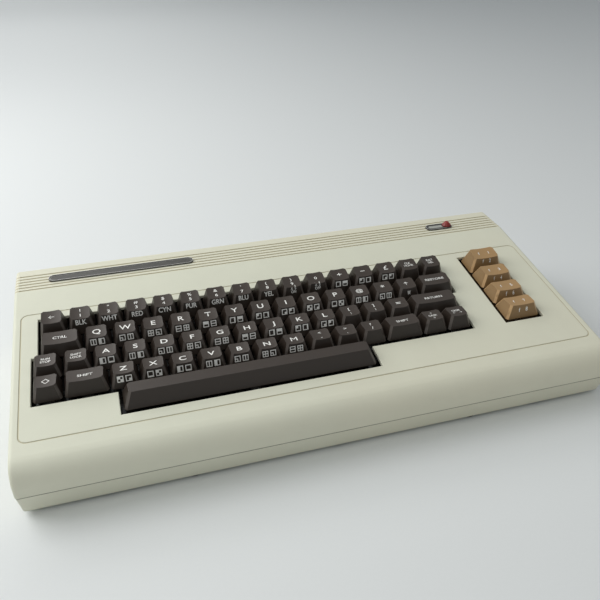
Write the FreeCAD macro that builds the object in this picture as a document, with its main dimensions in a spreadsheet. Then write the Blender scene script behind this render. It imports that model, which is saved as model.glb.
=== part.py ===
import FreeCAD, Part
import math
import os
import re
import Sketcher

# Home computer in one moulded case: a wedge-shaped upper shell with the keyboard hung under it,
# a shallow lower shell that carries the main board, and sockets along the rear and right edges.
# The case stands on z = 0, its middle is x = y = 0, and the keyboard faces -Y.

# Every length is in millimetres, and names that end in slope, lean or tilt are degrees.
SIZES = {
    # Case
    "case_width": 404.0,
    "case_depth": 204.0,
    "foot_height": 3.0,
    "seam_height": 20.0,
    "wall": 2.5,
    "nose_height": 39.2,
    "nose_radius": 14.0,
    "nose_undercut": 1.1,
    "deck_slope": 11.0,
    "strip_slope": 3.8,
    "strip_depth": 34.0,
    "rear_run": 11.0,
    "rear_radius": 6.0,
    "side_radius": 2.5,
    "seam_step": 0.25,
    "seam_line_height": 0.6,
    "seam_line_depth": 1.2,
    "lower_front_taper": 5.8,
    "lower_rear_taper": 4.0,
    "lower_side_taper": 0.8,
    "lower_wall": 3.2,
    "lower_corner_radius": 2.2,
    "lower_edge_radius": 1.6,
    "lip_height": 2.0,
    "lip_thickness": 1.2,
    "lip_gap": 0.3,
    "overrun": 12.0,
    # Trim lines on the upper shell
    "groove_margin": 3.5,
    "groove_start": 1.8,
    "groove_pitch": 4.0,
    "groove_width": 1.3,
    "groove_cut": 0.35,
    "border_side_margin": 5.2,
    "border_front_margin": 20.9,
    "border_length": 114.6,
    "border_radius": 5.5,
    "border_width": 0.8,
    "border_cut": 0.25,
    # Keyboard layout on the deck
    "key_pitch": 19.05,
    "key_gap": 1.0,
    "block_left_margin": 17.65,
    "block_rear_from_nose": 127.85,
    "well_side_gap": 0.9,
    "well_left_notch_gap": 0.4,
    "well_front_gap": 3.2,
    "well_rear_gap": 1.0,
    "well_space_gap": 2.2,
    "well_function_gap": 2.5,
    "well_lip_radius": 0.5,
    # Key caps
    "key_travel": 3.8,
    "cap_sink": 1.8,
    "cap_side_taper": 2.5,
    "function_side_taper": 3.4,
    "space_side_taper": 3.8,
    "cap_top_depth": 11.6,
    "space_top_depth": 10.4,
    "space_bar_width": 168.4,
    "cap_top_shift": 0.6,
    "space_top_shift": 1.6,
    "cap_corner": 1.4,
    "cap_trim": 3.0,
    "dish_sag": 0.7,
    "number_row_height": 9.95,
    "upper_row_height": 7.6,
    "middle_row_height": 6.8,
    "lower_row_height": 7.2,
    "space_row_height": 7.0,
    "number_row_tilt": 4.0,
    "upper_row_tilt": 0.0,
    "middle_row_tilt": -5.5,
    "lower_row_tilt": -10.0,
    "space_row_tilt": -11.0,
    "plunger_width": 4.4,
    "plunger_length": 11.4,
    # Keyboard frame, board and springs
    "frame_drop": 9.0,
    "frame_thickness": 1.5,
    "frame_skirt_drop": 17.4,
    "frame_skirt_thickness": 2.0,
    "frame_flange": 8.8,
    "frame_margin": 1.9,
    "guide_gap": 0.3,
    "guide_wall": 0.7,
    "guide_height": 2.0,
    "spring_inner_radius": 5.6,
    "spring_outer_radius": 6.3,
    "spring_pressed_height": 3.1,
    "board_thickness": 1.6,
    "keyboard_boss_radius": 3.2,
    "keyboard_screw_radius": 1.2,
    "keyboard_screw_head_radius": 2.6,
    "keyboard_screw_head_height": 1.5,
    "keyboard_screw_length": 7.0,
    "keyboard_bore": 5.8,
    "keyboard_screw_inset": 4.4,
    "keyboard_middle_x": 131.5,
    "screw_gap": 0.25,
    "screw_clearance": 0.4,
    # Space bar stabiliser wire
    "wire_radius": 0.7,
    "wire_span": 110.0,
    "wire_arm": 12.0,
    "wire_setback": 8.0,
    "wire_pivot_drop": 7.6,
    "wire_toe_drop": 3.7,
    "wire_toe": 5.0,
    "wire_running_gap": 0.05,
    "clip_spacing": 60.0,
    "clip_width": 4.0,
    "clip_wall": 0.9,
    "hook_width": 3.0,
    "hook_wall": 1.2,
    "hook_gap": 0.3,
    "hook_window": 0.7,
    # Lower shell fittings
    "floor": 2.5,
    "front_screw_inset": 12.0,
    "front_screw_spacing": 150.0,
    "front_boss_radius": 3.5,
    "front_boss_reach": 0.9,
    "front_tower_radius": 5.2,
    "front_screw_radius": 1.45,
    "front_screw_hole_radius": 1.8,
    "front_screw_head_radius": 3.3,
    "front_screw_head_height": 2.2,
    "front_screw_recess_radius": 3.8,
    "front_screw_recess": 5.0,
    "front_screw_length": 22.0,
    "foot_radius": 7.0,
    "foot_draft": 0.8,
    "foot_front_inset": 16.2,
    "foot_front_spacing": 196.0,
    "foot_rear_inset": 22.0,
    "foot_rear_spacing": 300.0,
    "vent_length": 34.0,
    "vent_width": 3.0,
    "vent_pitch": 8.0,
    # Main board
    "board_underside": 11.0,
    "board_side_margin": 12.0,
    "board_rear_margin": 8.0,
    "main_board_depth": 114.0,
    "main_board_step_width": 40.0,
    "main_board_step_depth": 50.0,
    "finger_reach": 5.0,
    "post_radius": 3.4,
    "post_inset_x": 8.0,
    "post_inset_y": 8.0,
    "board_screw_radius": 1.2,
    "board_screw_hole_radius": 1.7,
    "board_screw_head_radius": 2.8,
    "board_screw_head_height": 1.6,
    "board_screw_length": 5.6,
    "board_screw_hole_depth": 5.0,
    # Sockets
    "port_gap": 0.6,
    "cartridge_from_side": 87.0,
    "cartridge_width": 72.0,
    "cartridge_depth": 12.0,
    "cartridge_height": 13.4,
    "cartridge_opening_width": 77.0,
    "cartridge_opening_height": 14.6,
    "cartridge_slot_width": 62.0,
    "cartridge_slot_height": 2.4,
    "cartridge_slot_depth": 8.0,
    "video_from_cartridge": 70.0,
    "serial_from_video": 30.0,
    "din_width": 17.0,
    "din_height": 17.4,
    "din_depth": 14.0,
    "din_recess_radius": 7.0,
    "din_recess": 9.0,
    "din_opening_radius": 8.3,
    "din_set_back": 6.0,
    "user_port_from_side": 77.0,
    "user_port_finger_width": 66.0,
    "user_port_opening_width": 72.0,
    "cassette_from_user_port": 85.0,
    "cassette_finger_width": 38.0,
    "cassette_opening_width": 44.0,
    "edge_opening_low": 6.3,
    "edge_opening_height": 16.0,
    "control_from_rear": 134.0,
    "control_spacing": 36.0,
    "control_flange_width": 31.0,
    "control_flange_height": 12.6,
    "control_depth": 12.0,
    "control_shell_width": 24.6,
    "control_shell_narrow": 21.6,
    "control_shell_height": 9.6,
    "control_shell_reach": 3.0,
    "control_shell_wall": 1.0,
    "control_recess": 5.8,
    "control_set_back": 3.6,
    "inlet_from_rear": 44.0,
    "switch_from_rear": 82.0,
    "switch_width": 27.0,
    "switch_height": 15.0,
    "switch_depth": 18.0,
    "switch_set_back": 5.2,
    "switch_cavity_width": 21.0,
    "switch_cavity_height": 12.0,
    "switch_cavity_depth": 10.6,
    "rocker_half_width": 9.0,
    "rocker_height": 11.4,
    "rocker_end_reach": 1.0,
    "rocker_mid_reach": 0.2,
    "rocker_heel": 1.0,
    "rocker_belly": 3.0,
    "rocker_belly_half_width": 4.0,
    "rocker_pivot_depth": 5.9,
    "rocker_pin_radius": 1.2,
    "rocker_pin_reach": 1.2,
    "rocker_pin_gap": 0.05,
    "rocker_tilt": 10.0,
    # Parts on the main board
    "chip_long": 52.0,
    "chip_long_width": 14.0,
    "chip_short": 20.0,
    "chip_short_width": 7.0,
    "chip_height": 4.4,
    "chip_notch_radius": 1.5,
    "chip_row_pitch": 23.0,
    "chip_first_inset": 89.0,
    "chip_left_inset": 40.0,
    "chip_middle_x": -45.0,
    "chip_short_x": 2.0,
    "chip_short_pitch": 12.0,
    "chip_short_inset": 94.0,
    "capacitor_radius": 5.0,
    "capacitor_height": 16.0,
    "capacitor_pitch": 14.0,
    "capacitor_side_inset": 24.0,
    "capacitor_inset": 44.0,
    "shield_width": 80.0,
    "shield_depth": 50.0,
    "shield_height": 22.0,
    "shield_sheet": 0.8,
    "shield_from_cartridge": 45.0,
    "shield_inset": 54.0,
    "sink_width": 46.0,
    "sink_depth": 22.0,
    "sink_base": 3.0,
    "sink_fin_height": 17.0,
    "sink_fin_thickness": 2.0,
    "sink_side_inset": 55.0,
    "sink_inset": 44.0,
    "ribbon_width": 26.0,
    "ribbon_thickness": 1.2,
    "ribbon_bend": 5.0,
    "ribbon_plug_width": 30.0,
    "ribbon_plug_depth": 6.0,
    "ribbon_plug_height": 5.0,
    "ribbon_from_block": 84.35,
    "ribbon_plug_from_rear": 7.0,
    "ribbon_sink": 1.5,
    "ribbon_header_inset": 54.0,
    "ribbon_level": 27.0,
    # Badge, lamp label and lamp
    "badge_length": 109.4,
    "badge_height": 8.7,
    "badge_thickness": 1.5,
    "badge_rim": 0.8,
    "badge_recess": 0.4,
    "badge_rim_height": 0.3,
    "badge_gap": 0.15,
    "badge_from_side": 78.8,
    "badge_from_crease": 13.4,
    "label_length": 24.0,
    "label_from_side": 54.4,
    "lamp_radius": 4.0,
    "lamp_tip_radius": 1.5,
    "lamp_height": 4.5,
    "lamp_shoulder": 1.6,
    "lamp_depth": 5.0,
    "lamp_gap": 0.25,
    "lamp_from_label": 7.4,
}

doc = FreeCAD.newDocument("HomeComputer")
sheet = doc.addObject("Spreadsheet::Sheet", "Sizes")
for line, (alias, length) in enumerate(SIZES.items(), 1):
    sheet.set(f"A{line}", alias)
    sheet.set(f"B{line}", str(length))
    sheet.setAlias(f"B{line}", alias)
doc.recompute()

# How many there are of each
GROOVES = 6
VENT_ROWS = 10
CHIP_ROWS = 3
SHORT_CHIPS = 6
CAPACITORS = 3
SINK_FINS = 5

X_AXIS = FreeCAD.Vector(1, 0, 0)
Y_AXIS = FreeCAD.Vector(0, 1, 0)
Z_AXIS = FreeCAD.Vector(0, 0, 1)
nodes = []


def formula(text):
    """Point the size names of a formula at the sheet."""
    return re.sub(r"[a-z_]+", lambda word: "Sizes." + word[0] if word[0] in SIZES else word[0], text)


def worth(text):
    """Work out a formula of size names."""
    return float(sheet.evalExpression(formula(text)))


def bind(thing, **formulas):
    """Tie properties of a document object to formulas of the sheet."""
    for name, text in formulas.items():
        thing.setExpression(name, formula(text))
    return thing


def place(thing, x="0", y="0", z="0", turn=None, axis=X_AXIS):
    """Put an object at formulas of the sheet, turned about one axis."""
    thing.Placement = FreeCAD.Placement(FreeCAD.Vector(), FreeCAD.Rotation(axis, 1))
    for name, text in ((".Placement.Base.x", x), (".Placement.Base.y", y), (".Placement.Base.z", z)):
        thing.setExpression(name, formula(text))
    if turn is None:
        thing.Placement = FreeCAD.Placement()
    else:
        thing.setExpression(".Placement.Rotation.Angle", formula(turn))
    return thing


def on_deck(thing):
    """Seat an object drawn in deck coordinates on the sloping deck, from its front edge."""
    return place(thing, y="-case_depth / 2", z="nose_height", turn="deck_slope")


def node(thing, name):
    """Name a finished piece, which gives its file name."""
    thing.Label = name
    nodes.append(thing)
    return thing


# Plain solids

def box(name, size, centre=("0", "0"), low="0"):
    """A box, centred at a place in plan, from its lower level."""
    solid = bind(doc.addObject("Part::Box", name), Length=size[0], Width=size[1], Height=size[2])
    return place(solid, x=f"{centre[0]} - ({size[0]}) / 2", y=f"{centre[1]} - ({size[1]}) / 2", z=low)


def cylinder(name, radius, height, centre=("0", "0"), low="0", turn=None, axis=X_AXIS):
    solid = bind(doc.addObject("Part::Cylinder", name), Radius=radius, Height=height)
    return place(solid, x=centre[0], y=centre[1], z=low, turn=turn, axis=axis)


def prism(name, radius, height, low, sides=6):
    """A bar with flat sides, measured across its corners."""
    bar_shape = bind(doc.addObject("Part::Prism", name), Circumradius=radius, Height=height)
    bar_shape.Polygon = sides
    return place(bar_shape, z=low)


def group(name, pieces):
    """Several separate solids as one object."""
    bundle = doc.addObject("Part::Compound", name)
    bundle.Links = pieces
    return bundle


def joined(name, pieces):
    whole = doc.addObject("Part::MultiFuse", name)
    whole.Shapes = pieces
    return whole


def cut(name, base, tool):
    remainder = doc.addObject("Part::Cut", name)
    remainder.Base = base
    remainder.Tool = tool
    return remainder


def copies(name, master, places):
    """Linked copies of a master, one at each place given as formulas. The group keeps its own place."""
    held = group(name + "_master", [master])
    links = []
    for number, (x, y) in enumerate(places):
        link = doc.addObject("App::Link", f"{name}_{number}")
        link.LinkedObject = held
        link.setExpression(".Placement.Base.x", formula(x))
        link.setExpression(".Placement.Base.y", formula(y))
        links.append(link)
    return links


# Sketches and the features made from them

def sketch(body, name, plane="XY_Plane", shift=("0", "0", "0"), tilt=None):
    """A sketch on one of its body's own planes, shifted and tilted by formulas."""
    drawing = body.newObject("Sketcher::SketchObject", name)
    support = [feature for feature in body.Origin.OriginFeatures if feature.Role == plane][0]
    drawing.AttachmentSupport = [(support, "")]
    drawing.MapMode = "FlatFace"
    if tilt is not None:
        drawing.AttachmentOffset = FreeCAD.Placement(FreeCAD.Vector(), FreeCAD.Rotation(X_AXIS, 1))
        drawing.setExpression(".AttachmentOffset.Rotation.Angle", formula(tilt))
    for axis, text in zip("xyz", shift):
        drawing.setExpression(f".AttachmentOffset.Base.{axis}", formula(text))
    return drawing


def deck_sketch(body, name, level="0"):
    """A sketch parallel to the deck, from the deck's front edge, at a level above its surface."""
    rise = f"nose_height + ({level}) * cos(deck_slope)"
    run = f"-case_depth / 2 - ({level}) * sin(deck_slope)"
    return sketch(body, name, shift=("0", run, rise), tilt="deck_slope")


def pin_point(drawing, geometry, end, x, y):
    """Tie one point of a sketch to formulas measured from its origin."""
    across = drawing.addConstraint(Sketcher.Constraint("DistanceX", -1, 1, geometry, end, worth(x)))
    drawing.setExpression(f"Constraints[{across}]", formula(x))
    along = drawing.addConstraint(Sketcher.Constraint("DistanceY", -1, 1, geometry, end, worth(y)))
    drawing.setExpression(f"Constraints[{along}]", formula(y))


def outline(drawing, points):
    """A closed straight-sided outline through points given as formulas."""
    first = drawing.GeometryCount
    corners = [FreeCAD.Vector(worth(x), worth(y), 0) for x, y in points]
    drawing.addGeometry([Part.LineSegment(start, end)
                         for start, end in zip(corners, corners[1:] + corners[:1])], False)
    for number, (x, y) in enumerate(points):
        following = first + (number + 1) % len(points)
        drawing.addConstraint(Sketcher.Constraint("Coincident", first + number, 2, following, 1))
        pin_point(drawing, first + number, 1, x, y)
    return drawing


def rectangle(drawing, low_x, low_y, high_x, high_y):
    return outline(drawing, [(low_x, low_y), (high_x, low_y), (high_x, high_y), (low_x, high_y)])


def circle(drawing, x, y, radius):
    shape = Part.Circle(FreeCAD.Vector(worth(x), worth(y), 0), Z_AXIS, worth(radius))
    ring = drawing.addGeometry(shape, False)
    pin_point(drawing, ring, 3, x, y)
    width = drawing.addConstraint(Sketcher.Constraint("Radius", ring, worth(radius)))
    drawing.setExpression(f"Constraints[{width}]", formula(radius))
    return drawing


def six_sided(drawing, x, y, radius):
    """A hexagon in place of a circle, for small hidden bosses and bores, measured across its flats."""
    half = f"({radius}) * tan(30)"
    point = f"({radius}) / cos(30)"
    return outline(drawing, [
        (f"{x} + {radius}", f"{y} - {half}"), (f"{x} + {radius}", f"{y} + {half}"), (x, f"{y} + {point}"),
        (f"{x} - ({radius})", f"{y} + {half}"), (f"{x} - ({radius})", f"{y} - {half}"),
        (x, f"{y} - {point}")])


def rounded(drawing, centres, radius):
    """A closed outline of equal arcs, given by centre and first and last quarter turn, and tangent sides."""
    arcs = []
    for x, y, start, end in centres:
        ring = Part.Circle(FreeCAD.Vector(worth(x), worth(y), 0), Z_AXIS, worth(radius))
        arc = Part.ArcOfCircle(ring, start * math.pi / 2, end * math.pi / 2)
        arcs.append(drawing.addGeometry(arc, False))
        pin_point(drawing, arcs[-1], 3, x, y)
    for arc, following in zip(arcs, arcs[1:] + arcs[:1]):
        line = Part.LineSegment(drawing.getPoint(arc, 2), drawing.getPoint(following, 1))
        side = drawing.addGeometry(line, False)
        drawing.addConstraint(Sketcher.Constraint("Tangent", arc, 2, side, 1))
        drawing.addConstraint(Sketcher.Constraint("Tangent", side, 2, following, 1))
    for arc in arcs[1:]:
        drawing.addConstraint(Sketcher.Constraint("Equal", arcs[0], arc))
    size = drawing.addConstraint(Sketcher.Constraint("Radius", arcs[0], worth(radius)))
    drawing.setExpression(f"Constraints[{size}]", formula(radius))
    return drawing


def rounded_rectangle(drawing, low_x, low_y, high_x, high_y, radius):
    left = f"{low_x} + {radius}"
    right = f"{high_x} - ({radius})"
    lower = f"{low_y} + {radius}"
    upper = f"{high_y} - ({radius})"
    return rounded(drawing, [(left, lower, 2, 3), (right, lower, 3, 4), (right, upper, 0, 1),
                             (left, upper, 1, 2)], radius)


def stadium(drawing, x, y, length, radius):
    """A slot outline with round ends."""
    reach = f"(({length}) / 2 - ({radius}))"
    return rounded(drawing, [(f"{x} + {reach}", y, -1, 1), (f"{x} - {reach}", y, 1, 3)], radius)


def pad(body, name, profile, length, midplane=False, reverse=False):
    feature = body.newObject("PartDesign::Pad", name)
    feature.Profile = profile
    feature.Midplane = midplane
    feature.Reversed = reverse
    return bind(feature, Length=length)


def pocket(body, name, profile, length=None, midplane=False, reverse=False):
    """A cut along a sketch's normal, through everything where no length is given."""
    feature = body.newObject("PartDesign::Pocket", name)
    feature.Profile = profile
    feature.Midplane = midplane
    feature.Reversed = reverse
    if length is None:
        feature.Type = 1
        return feature
    return bind(feature, Length=length)


def loft(body, name, first, last, kind="Additive"):
    feature = body.newObject(f"PartDesign::{kind}Loft", name)
    feature.Profile = first
    feature.Sections = [last]
    feature.Ruled = True
    return feature


def fillet(body, name, base, radius, wanted):
    """Round the edges of a feature that a test picks out."""
    doc.recompute()
    picked = [f"Edge{number}" for number, edge in enumerate(base.Shape.Edges, 1) if wanted(edge)]
    feature = body.newObject("PartDesign::Fillet", name)
    feature.Base = (base, picked)
    return bind(feature, Radius=radius)


def runs_along(edge, axis):
    """True for a straight edge parallel to an axis."""
    if not isinstance(edge.Curve, Part.Line):
        return False
    return abs(abs(edge.Curve.Direction.dot(axis)) - 1) < 1e-6


def near(value, text):
    """True where a measured value agrees with a formula."""
    return abs(value - worth(text)) < 1e-4


# Outline of the case in side view, as formulas in world y and z

FRONT = "-case_depth / 2"
REAR = "case_depth / 2"
DECK_DEPTH = "(case_depth - strip_depth - rear_run)"
CREASE_Y = f"({FRONT} + {DECK_DEPTH})"
CREASE_Z = f"(nose_height + {DECK_DEPTH} * tan(deck_slope))"
CORNER_Y = f"({REAR} - rear_run)"
CORNER_Z = f"({CREASE_Z} + strip_depth * tan(strip_slope))"
REAR_LEAN = f"(rear_run / ({CORNER_Z} - seam_height))"
BLOCK_LEFT = "(-case_width / 2 + block_left_margin)"

# The badge keeps its place from the left side, the lamp and its label theirs from the right
BADGE_X = "(-case_width / 2 + badge_from_side)"
LABEL_X = "(case_width / 2 - label_from_side)"
LAMP_X = f"({LABEL_X} + lamp_from_label)"

# The main board and what stands on it keep their places behind the rear and side walls
BOARD_REAR = f"({REAR} - board_rear_margin)"
BOARD_FRONT = f"({BOARD_REAR} - main_board_depth)"
BOARD_SIDE = "(case_width / 2 - board_side_margin)"
CARTRIDGE_X = "(case_width / 2 - cartridge_from_side)"
USER_PORT_X = "(-case_width / 2 + user_port_from_side)"
VIDEO_X = f"({CARTRIDGE_X} - video_from_cartridge)"
SERIAL_X = f"({VIDEO_X} - serial_from_video)"
CASSETTE_X = f"({USER_PORT_X} + cassette_from_user_port)"
SHIELD_X = f"({CARTRIDGE_X} - shield_from_cartridge)"
RIBBON_X = f"({BLOCK_LEFT} + ribbon_from_block)"
INLET_Y = f"({REAR} - inlet_from_rear)"
SWITCH_Y = f"({REAR} - switch_from_rear)"
HEADER_Y = f"({BOARD_REAR} - ribbon_header_inset)"

# Upper shell

shell = doc.addObject("PartDesign::Body", "UpperShell")
side_view = outline(sketch(shell, "SideView", "YZ_Plane"), [
    (f"{FRONT} + nose_undercut", "seam_height"), (FRONT, "nose_height"), (CREASE_Y, CREASE_Z),
    (CORNER_Y, CORNER_Z), (REAR, "seam_height")])
blank = pad(shell, "Blank", side_view, "case_width", midplane=True)
inner_crease = "(wall * (1 / cos(deck_slope) - 1 / cos(strip_slope)) / (tan(deck_slope) - tan(strip_slope)))"
inner_corner = (f"(wall * ({REAR_LEAN} / cos(strip_slope) - sqrt(1 + {REAR_LEAN} ^ 2))"
                f" / (1 + {REAR_LEAN} * tan(strip_slope)))")
rear_wall = f"(wall * sqrt(1 + {REAR_LEAN} ^ 2))"
cavity_view = outline(sketch(shell, "CavityView", "YZ_Plane"), [
    (f"{FRONT} + nose_undercut + wall", "seam_height - overrun"),
    (f"{FRONT} + nose_undercut + wall", "seam_height"),
    (f"{FRONT} + wall", "nose_height + wall * tan(deck_slope) - wall / cos(deck_slope)"),
    (f"{CREASE_Y} + {inner_crease}",
     f"{CREASE_Z} + {inner_crease} * tan(strip_slope) - wall / cos(strip_slope)"),
    (f"{CORNER_Y} + {inner_corner}",
     f"{CORNER_Z} + {inner_corner} * tan(strip_slope) - wall / cos(strip_slope)"),
    (f"{REAR} - {rear_wall}", "seam_height"),
    (f"{REAR} - {rear_wall}", "seam_height - overrun")])
cavity = pocket(shell, "Cavity", cavity_view, "case_width - 2 * wall", midplane=True)
inner_nose = fillet(shell, "InnerNose", cavity, "nose_radius - wall", lambda edge:
                    runs_along(edge, X_AXIS) and near(edge.BoundBox.YMin, f"{FRONT} + wall"))
inner_rear = fillet(shell, "InnerRear", inner_nose, "rear_radius - wall", lambda edge:
                    runs_along(edge, X_AXIS) and near(edge.BoundBox.YMin, f"{CORNER_Y} + {inner_corner}"))

nose = fillet(shell, "Nose", inner_rear, "nose_radius", lambda edge:
              runs_along(edge, X_AXIS) and near(edge.BoundBox.YMin, FRONT))
rear_edge = fillet(shell, "RearEdge", nose, "rear_radius", lambda edge:
                   runs_along(edge, X_AXIS) and near(edge.BoundBox.YMin, CORNER_Y))
sides = fillet(shell, "Sides", rear_edge, "side_radius", lambda edge:
               edge.BoundBox.XLength < 1e-6 and near(abs(edge.BoundBox.XMin), "case_width / 2")
               and edge.BoundBox.ZMax > worth("seam_height") + worth("wall"))

# Openings that the keys stand in, in key pitches across and down from the first row's rear left corner.


def across(pitches, extra="0"):
    return f"{BLOCK_LEFT} + {pitches} * key_pitch + {extra}"


def down(pitches, extra="0"):
    return f"block_rear_from_nose - {pitches} * key_pitch + {extra}"


SPACE_SHARE = 7.03
space_x = across(SPACE_SHARE)
space_y = down(4.5)
well_view = outline(deck_sketch(shell, "MainWellView", "wall"), [
    (across(0, "-well_side_gap"), down(0, "well_rear_gap")),
    (across(0, "-well_side_gap"), down(2, "well_rear_gap")),
    (across(-0.25, "-well_left_notch_gap"), down(2, "well_rear_gap")),
    (across(-0.25, "-well_left_notch_gap"), down(4, "-well_front_gap")),
    (f"{space_x} - space_bar_width / 2 - well_space_gap", down(4, "-well_front_gap")),
    (f"{space_x} - space_bar_width / 2 - well_space_gap", down(5, "-well_front_gap")),
    (f"{space_x} + space_bar_width / 2 + well_space_gap", down(5, "-well_front_gap")),
    (f"{space_x} + space_bar_width / 2 + well_space_gap", down(4, "-well_front_gap")),
    (across(15.75, "well_side_gap"), down(4, "-well_front_gap")),
    (across(15.75, "well_side_gap"), down(2, "-well_rear_gap")),
    (across(16, "well_side_gap"), down(2, "-well_rear_gap")),
    (across(16, "well_side_gap"), down(0, "well_rear_gap"))])
main_well = pocket(shell, "MainWell", well_view, "3 * wall")
function_view = rectangle(deck_sketch(shell, "FunctionWellView", "wall"),
                          across(17.25, "-well_function_gap"), down(4, "-well_front_gap"),
                          across(18.75, "well_side_gap"), down(0, "well_rear_gap"))
function_well = pocket(shell, "FunctionWell", function_view, "3 * wall")


def on_well_rim(edge):
    """True for the straight edges of the key openings in the deck's outer face."""
    if not isinstance(edge.Curve, Part.Line):
        return False
    slope = math.radians(worth("deck_slope"))
    for vertex in edge.Vertexes:
        level = worth("nose_height") + (vertex.Y - worth(FRONT)) * math.tan(slope)
        if abs(vertex.Z - level) > 1e-4 or vertex.Y < worth(FRONT) + worth("border_front_margin"):
            return False
        if vertex.Y > worth(f"{CREASE_Y}") - worth("border_front_margin") / 2:
            return False
    return True


rims = fillet(shell, "WellRims", function_well, "well_lip_radius", on_well_rim)

# Engraved border round the keys, and fine grooves along the rear strip
border_view = deck_sketch(shell, "BorderView")
for inset in ("0", "border_width"):
    rounded_rectangle(border_view, f"-case_width / 2 + border_side_margin + {inset}",
                      f"border_front_margin + {inset}", f"case_width / 2 - border_side_margin - {inset}",
                      f"border_front_margin + border_length - {inset}", f"border_radius - {inset}")
border = pocket(shell, "Border", border_view, "border_cut")


def strip_sketch(name, level="0"):
    """A sketch parallel to the rear strip, from the crease, at a level above its surface."""
    run = f"{CREASE_Y} - ({level}) * sin(strip_slope)"
    rise = f"{CREASE_Z} + ({level}) * cos(strip_slope)"
    return sketch(shell, name, shift=("0", run, rise), tilt="strip_slope")


groove_view = strip_sketch("GrooveView")
for line in range(GROOVES):
    start = f"groove_start + {line} * groove_pitch"
    rectangle(groove_view, "-case_width / 2 + groove_margin", f"{start} - groove_width / 2",
              "case_width / 2 - groove_margin", f"{start} + groove_width / 2")
grooves = pocket(shell, "Grooves", groove_view, "groove_cut")

badge_seats = strip_sketch("BadgeSeatView")
stadium(badge_seats, BADGE_X, "badge_from_crease", "badge_length + 2 * badge_gap",
        "badge_height / 2 + badge_gap")
stadium(badge_seats, LABEL_X, "badge_from_crease", "label_length + 2 * badge_gap",
        "badge_height / 2 + badge_gap")
seats = pocket(shell, "BadgeSeats", badge_seats, "badge_recess")
lamp_view = circle(strip_sketch("LampHoleView"), LAMP_X, "badge_from_crease", "lamp_radius + lamp_gap")
lamp_hole = pocket(shell, "LampHole", lamp_view, "2 * wall")

# Bosses that the keyboard and the lower shell are screwed to
frame_left = "(-case_width / 2 + block_left_margin - frame_margin)"
frame_right = f"({across(18.75)} + frame_margin)"
frame_rear = "(block_rear_from_nose + frame_margin)"
frame_front = f"({down(5)} - frame_margin)"
boss_places = [(x, y) for x in (f"{frame_left} - frame_flange + keyboard_screw_inset", "keyboard_middle_x",
                                f"{frame_right} + frame_flange - keyboard_screw_inset")
               for y in (f"{frame_front} - frame_flange + keyboard_screw_inset",
                         f"{frame_rear} + frame_flange - keyboard_screw_inset")]
boss_view = deck_sketch(shell, "KeyboardBossView", "-frame_drop")
bore_view = deck_sketch(shell, "KeyboardBoreView", "-frame_drop")
for x, y in boss_places:
    six_sided(boss_view, x, y, "keyboard_boss_radius")
    six_sided(bore_view, x, y, "keyboard_screw_radius + screw_gap")
keyboard_bosses = pad(shell, "KeyboardBosses", boss_view, "frame_drop - wall / 2")
keyboard_bores = pocket(shell, "KeyboardBores", bore_view, "keyboard_bore", reverse=True)

front_places = [(f"{side} * front_screw_spacing", f"{FRONT} + front_screw_inset") for side in (-1, 0, 1)]
meeting = "seam_height + front_boss_reach"
front_view = sketch(shell, "FrontBossView", shift=("0", "0", meeting))
front_bore_view = sketch(shell, "FrontBoreView", shift=("0", "0", meeting))
for x, y in front_places:
    six_sided(front_view, x, y, "front_boss_radius")
    six_sided(front_bore_view, x, y, "front_screw_radius + screw_gap")
front_bosses = pad(shell, "FrontBosses", front_view,
                   f"nose_height + front_screw_inset * tan(deck_slope) - wall / 2 - ({meeting})")
front_bores = pocket(shell, "FrontBores", front_bore_view, "front_screw_length - front_screw_recess",
                     reverse=True)

# Lower shell

lower = doc.addObject("PartDesign::Body", "LowerShell")


def tray_outline(name, level, inset, taper):
    """The lower shell's outline at a level, with its wall and the share of its taper taken in."""
    drawing = sketch(lower, name, shift=("0", "0", level))
    side = f"case_width / 2 - seam_step - {inset} - {taper} * lower_side_taper"
    front = f"{FRONT} + nose_undercut + seam_step + {inset} + {taper} * lower_front_taper"
    rear = f"{REAR} - seam_step - {inset} - {taper} * lower_rear_taper"
    return rectangle(drawing, f"-({side})", front, side, rear)


floor_share = "(1 - floor / (seam_height - foot_height))"
tray_view = outline(sketch(lower, "TrayView", "YZ_Plane"), [
    (f"{FRONT} + nose_undercut + seam_step + lower_front_taper", "foot_height"),
    (f"{REAR} - seam_step - lower_rear_taper", "foot_height"), (f"{REAR} - seam_step", "seam_height"),
    (f"{FRONT} + nose_undercut + seam_step", "seam_height")])
tray = pad(lower, "Tray", tray_view, "case_width - 2 * seam_step", midplane=True)
flank_view = sketch(lower, "FlankView", "XZ_Plane")
for side in (-1, 1):
    rim = f"{side} * (case_width / 2 - seam_step)"
    beyond = f"{rim} + {side} * overrun"
    outline(flank_view, [(rim, "seam_height"), (f"{rim} - {side} * lower_side_taper", "foot_height"),
                         (beyond, "foot_height"), (beyond, "seam_height")])
flanks = pocket(lower, "Flanks", flank_view, midplane=True)
tray_corners = fillet(lower, "TrayCorners", flanks, "lower_corner_radius", lambda edge:
                      edge.BoundBox.ZLength > worth("floor"))
tray_edge = fillet(lower, "TrayEdge", tray_corners, "lower_edge_radius", lambda edge:
                   edge.BoundBox.ZMax < worth("foot_height") + 1e-4)
hollow = loft(lower, "Hollow", tray_outline("HollowFloor", "foot_height + floor", "lower_wall", floor_share),
              tray_outline("HollowRim", "seam_height", "lower_wall", "0"), kind="Subtractive")
lip_view = sketch(lower, "LipView", shift=("0", "0", "seam_height"))
for inset in ("0", "lip_thickness"):
    side = f"case_width / 2 - wall - lip_gap - {inset}"
    rectangle(lip_view, f"-({side})", f"{FRONT} + nose_undercut + wall + lip_gap + {inset}", side,
              f"{REAR} - {rear_wall} - lip_height * {REAR_LEAN} - lip_gap - {inset}")
lip = pad(lower, "Lip", lip_view, "lip_height")

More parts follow.
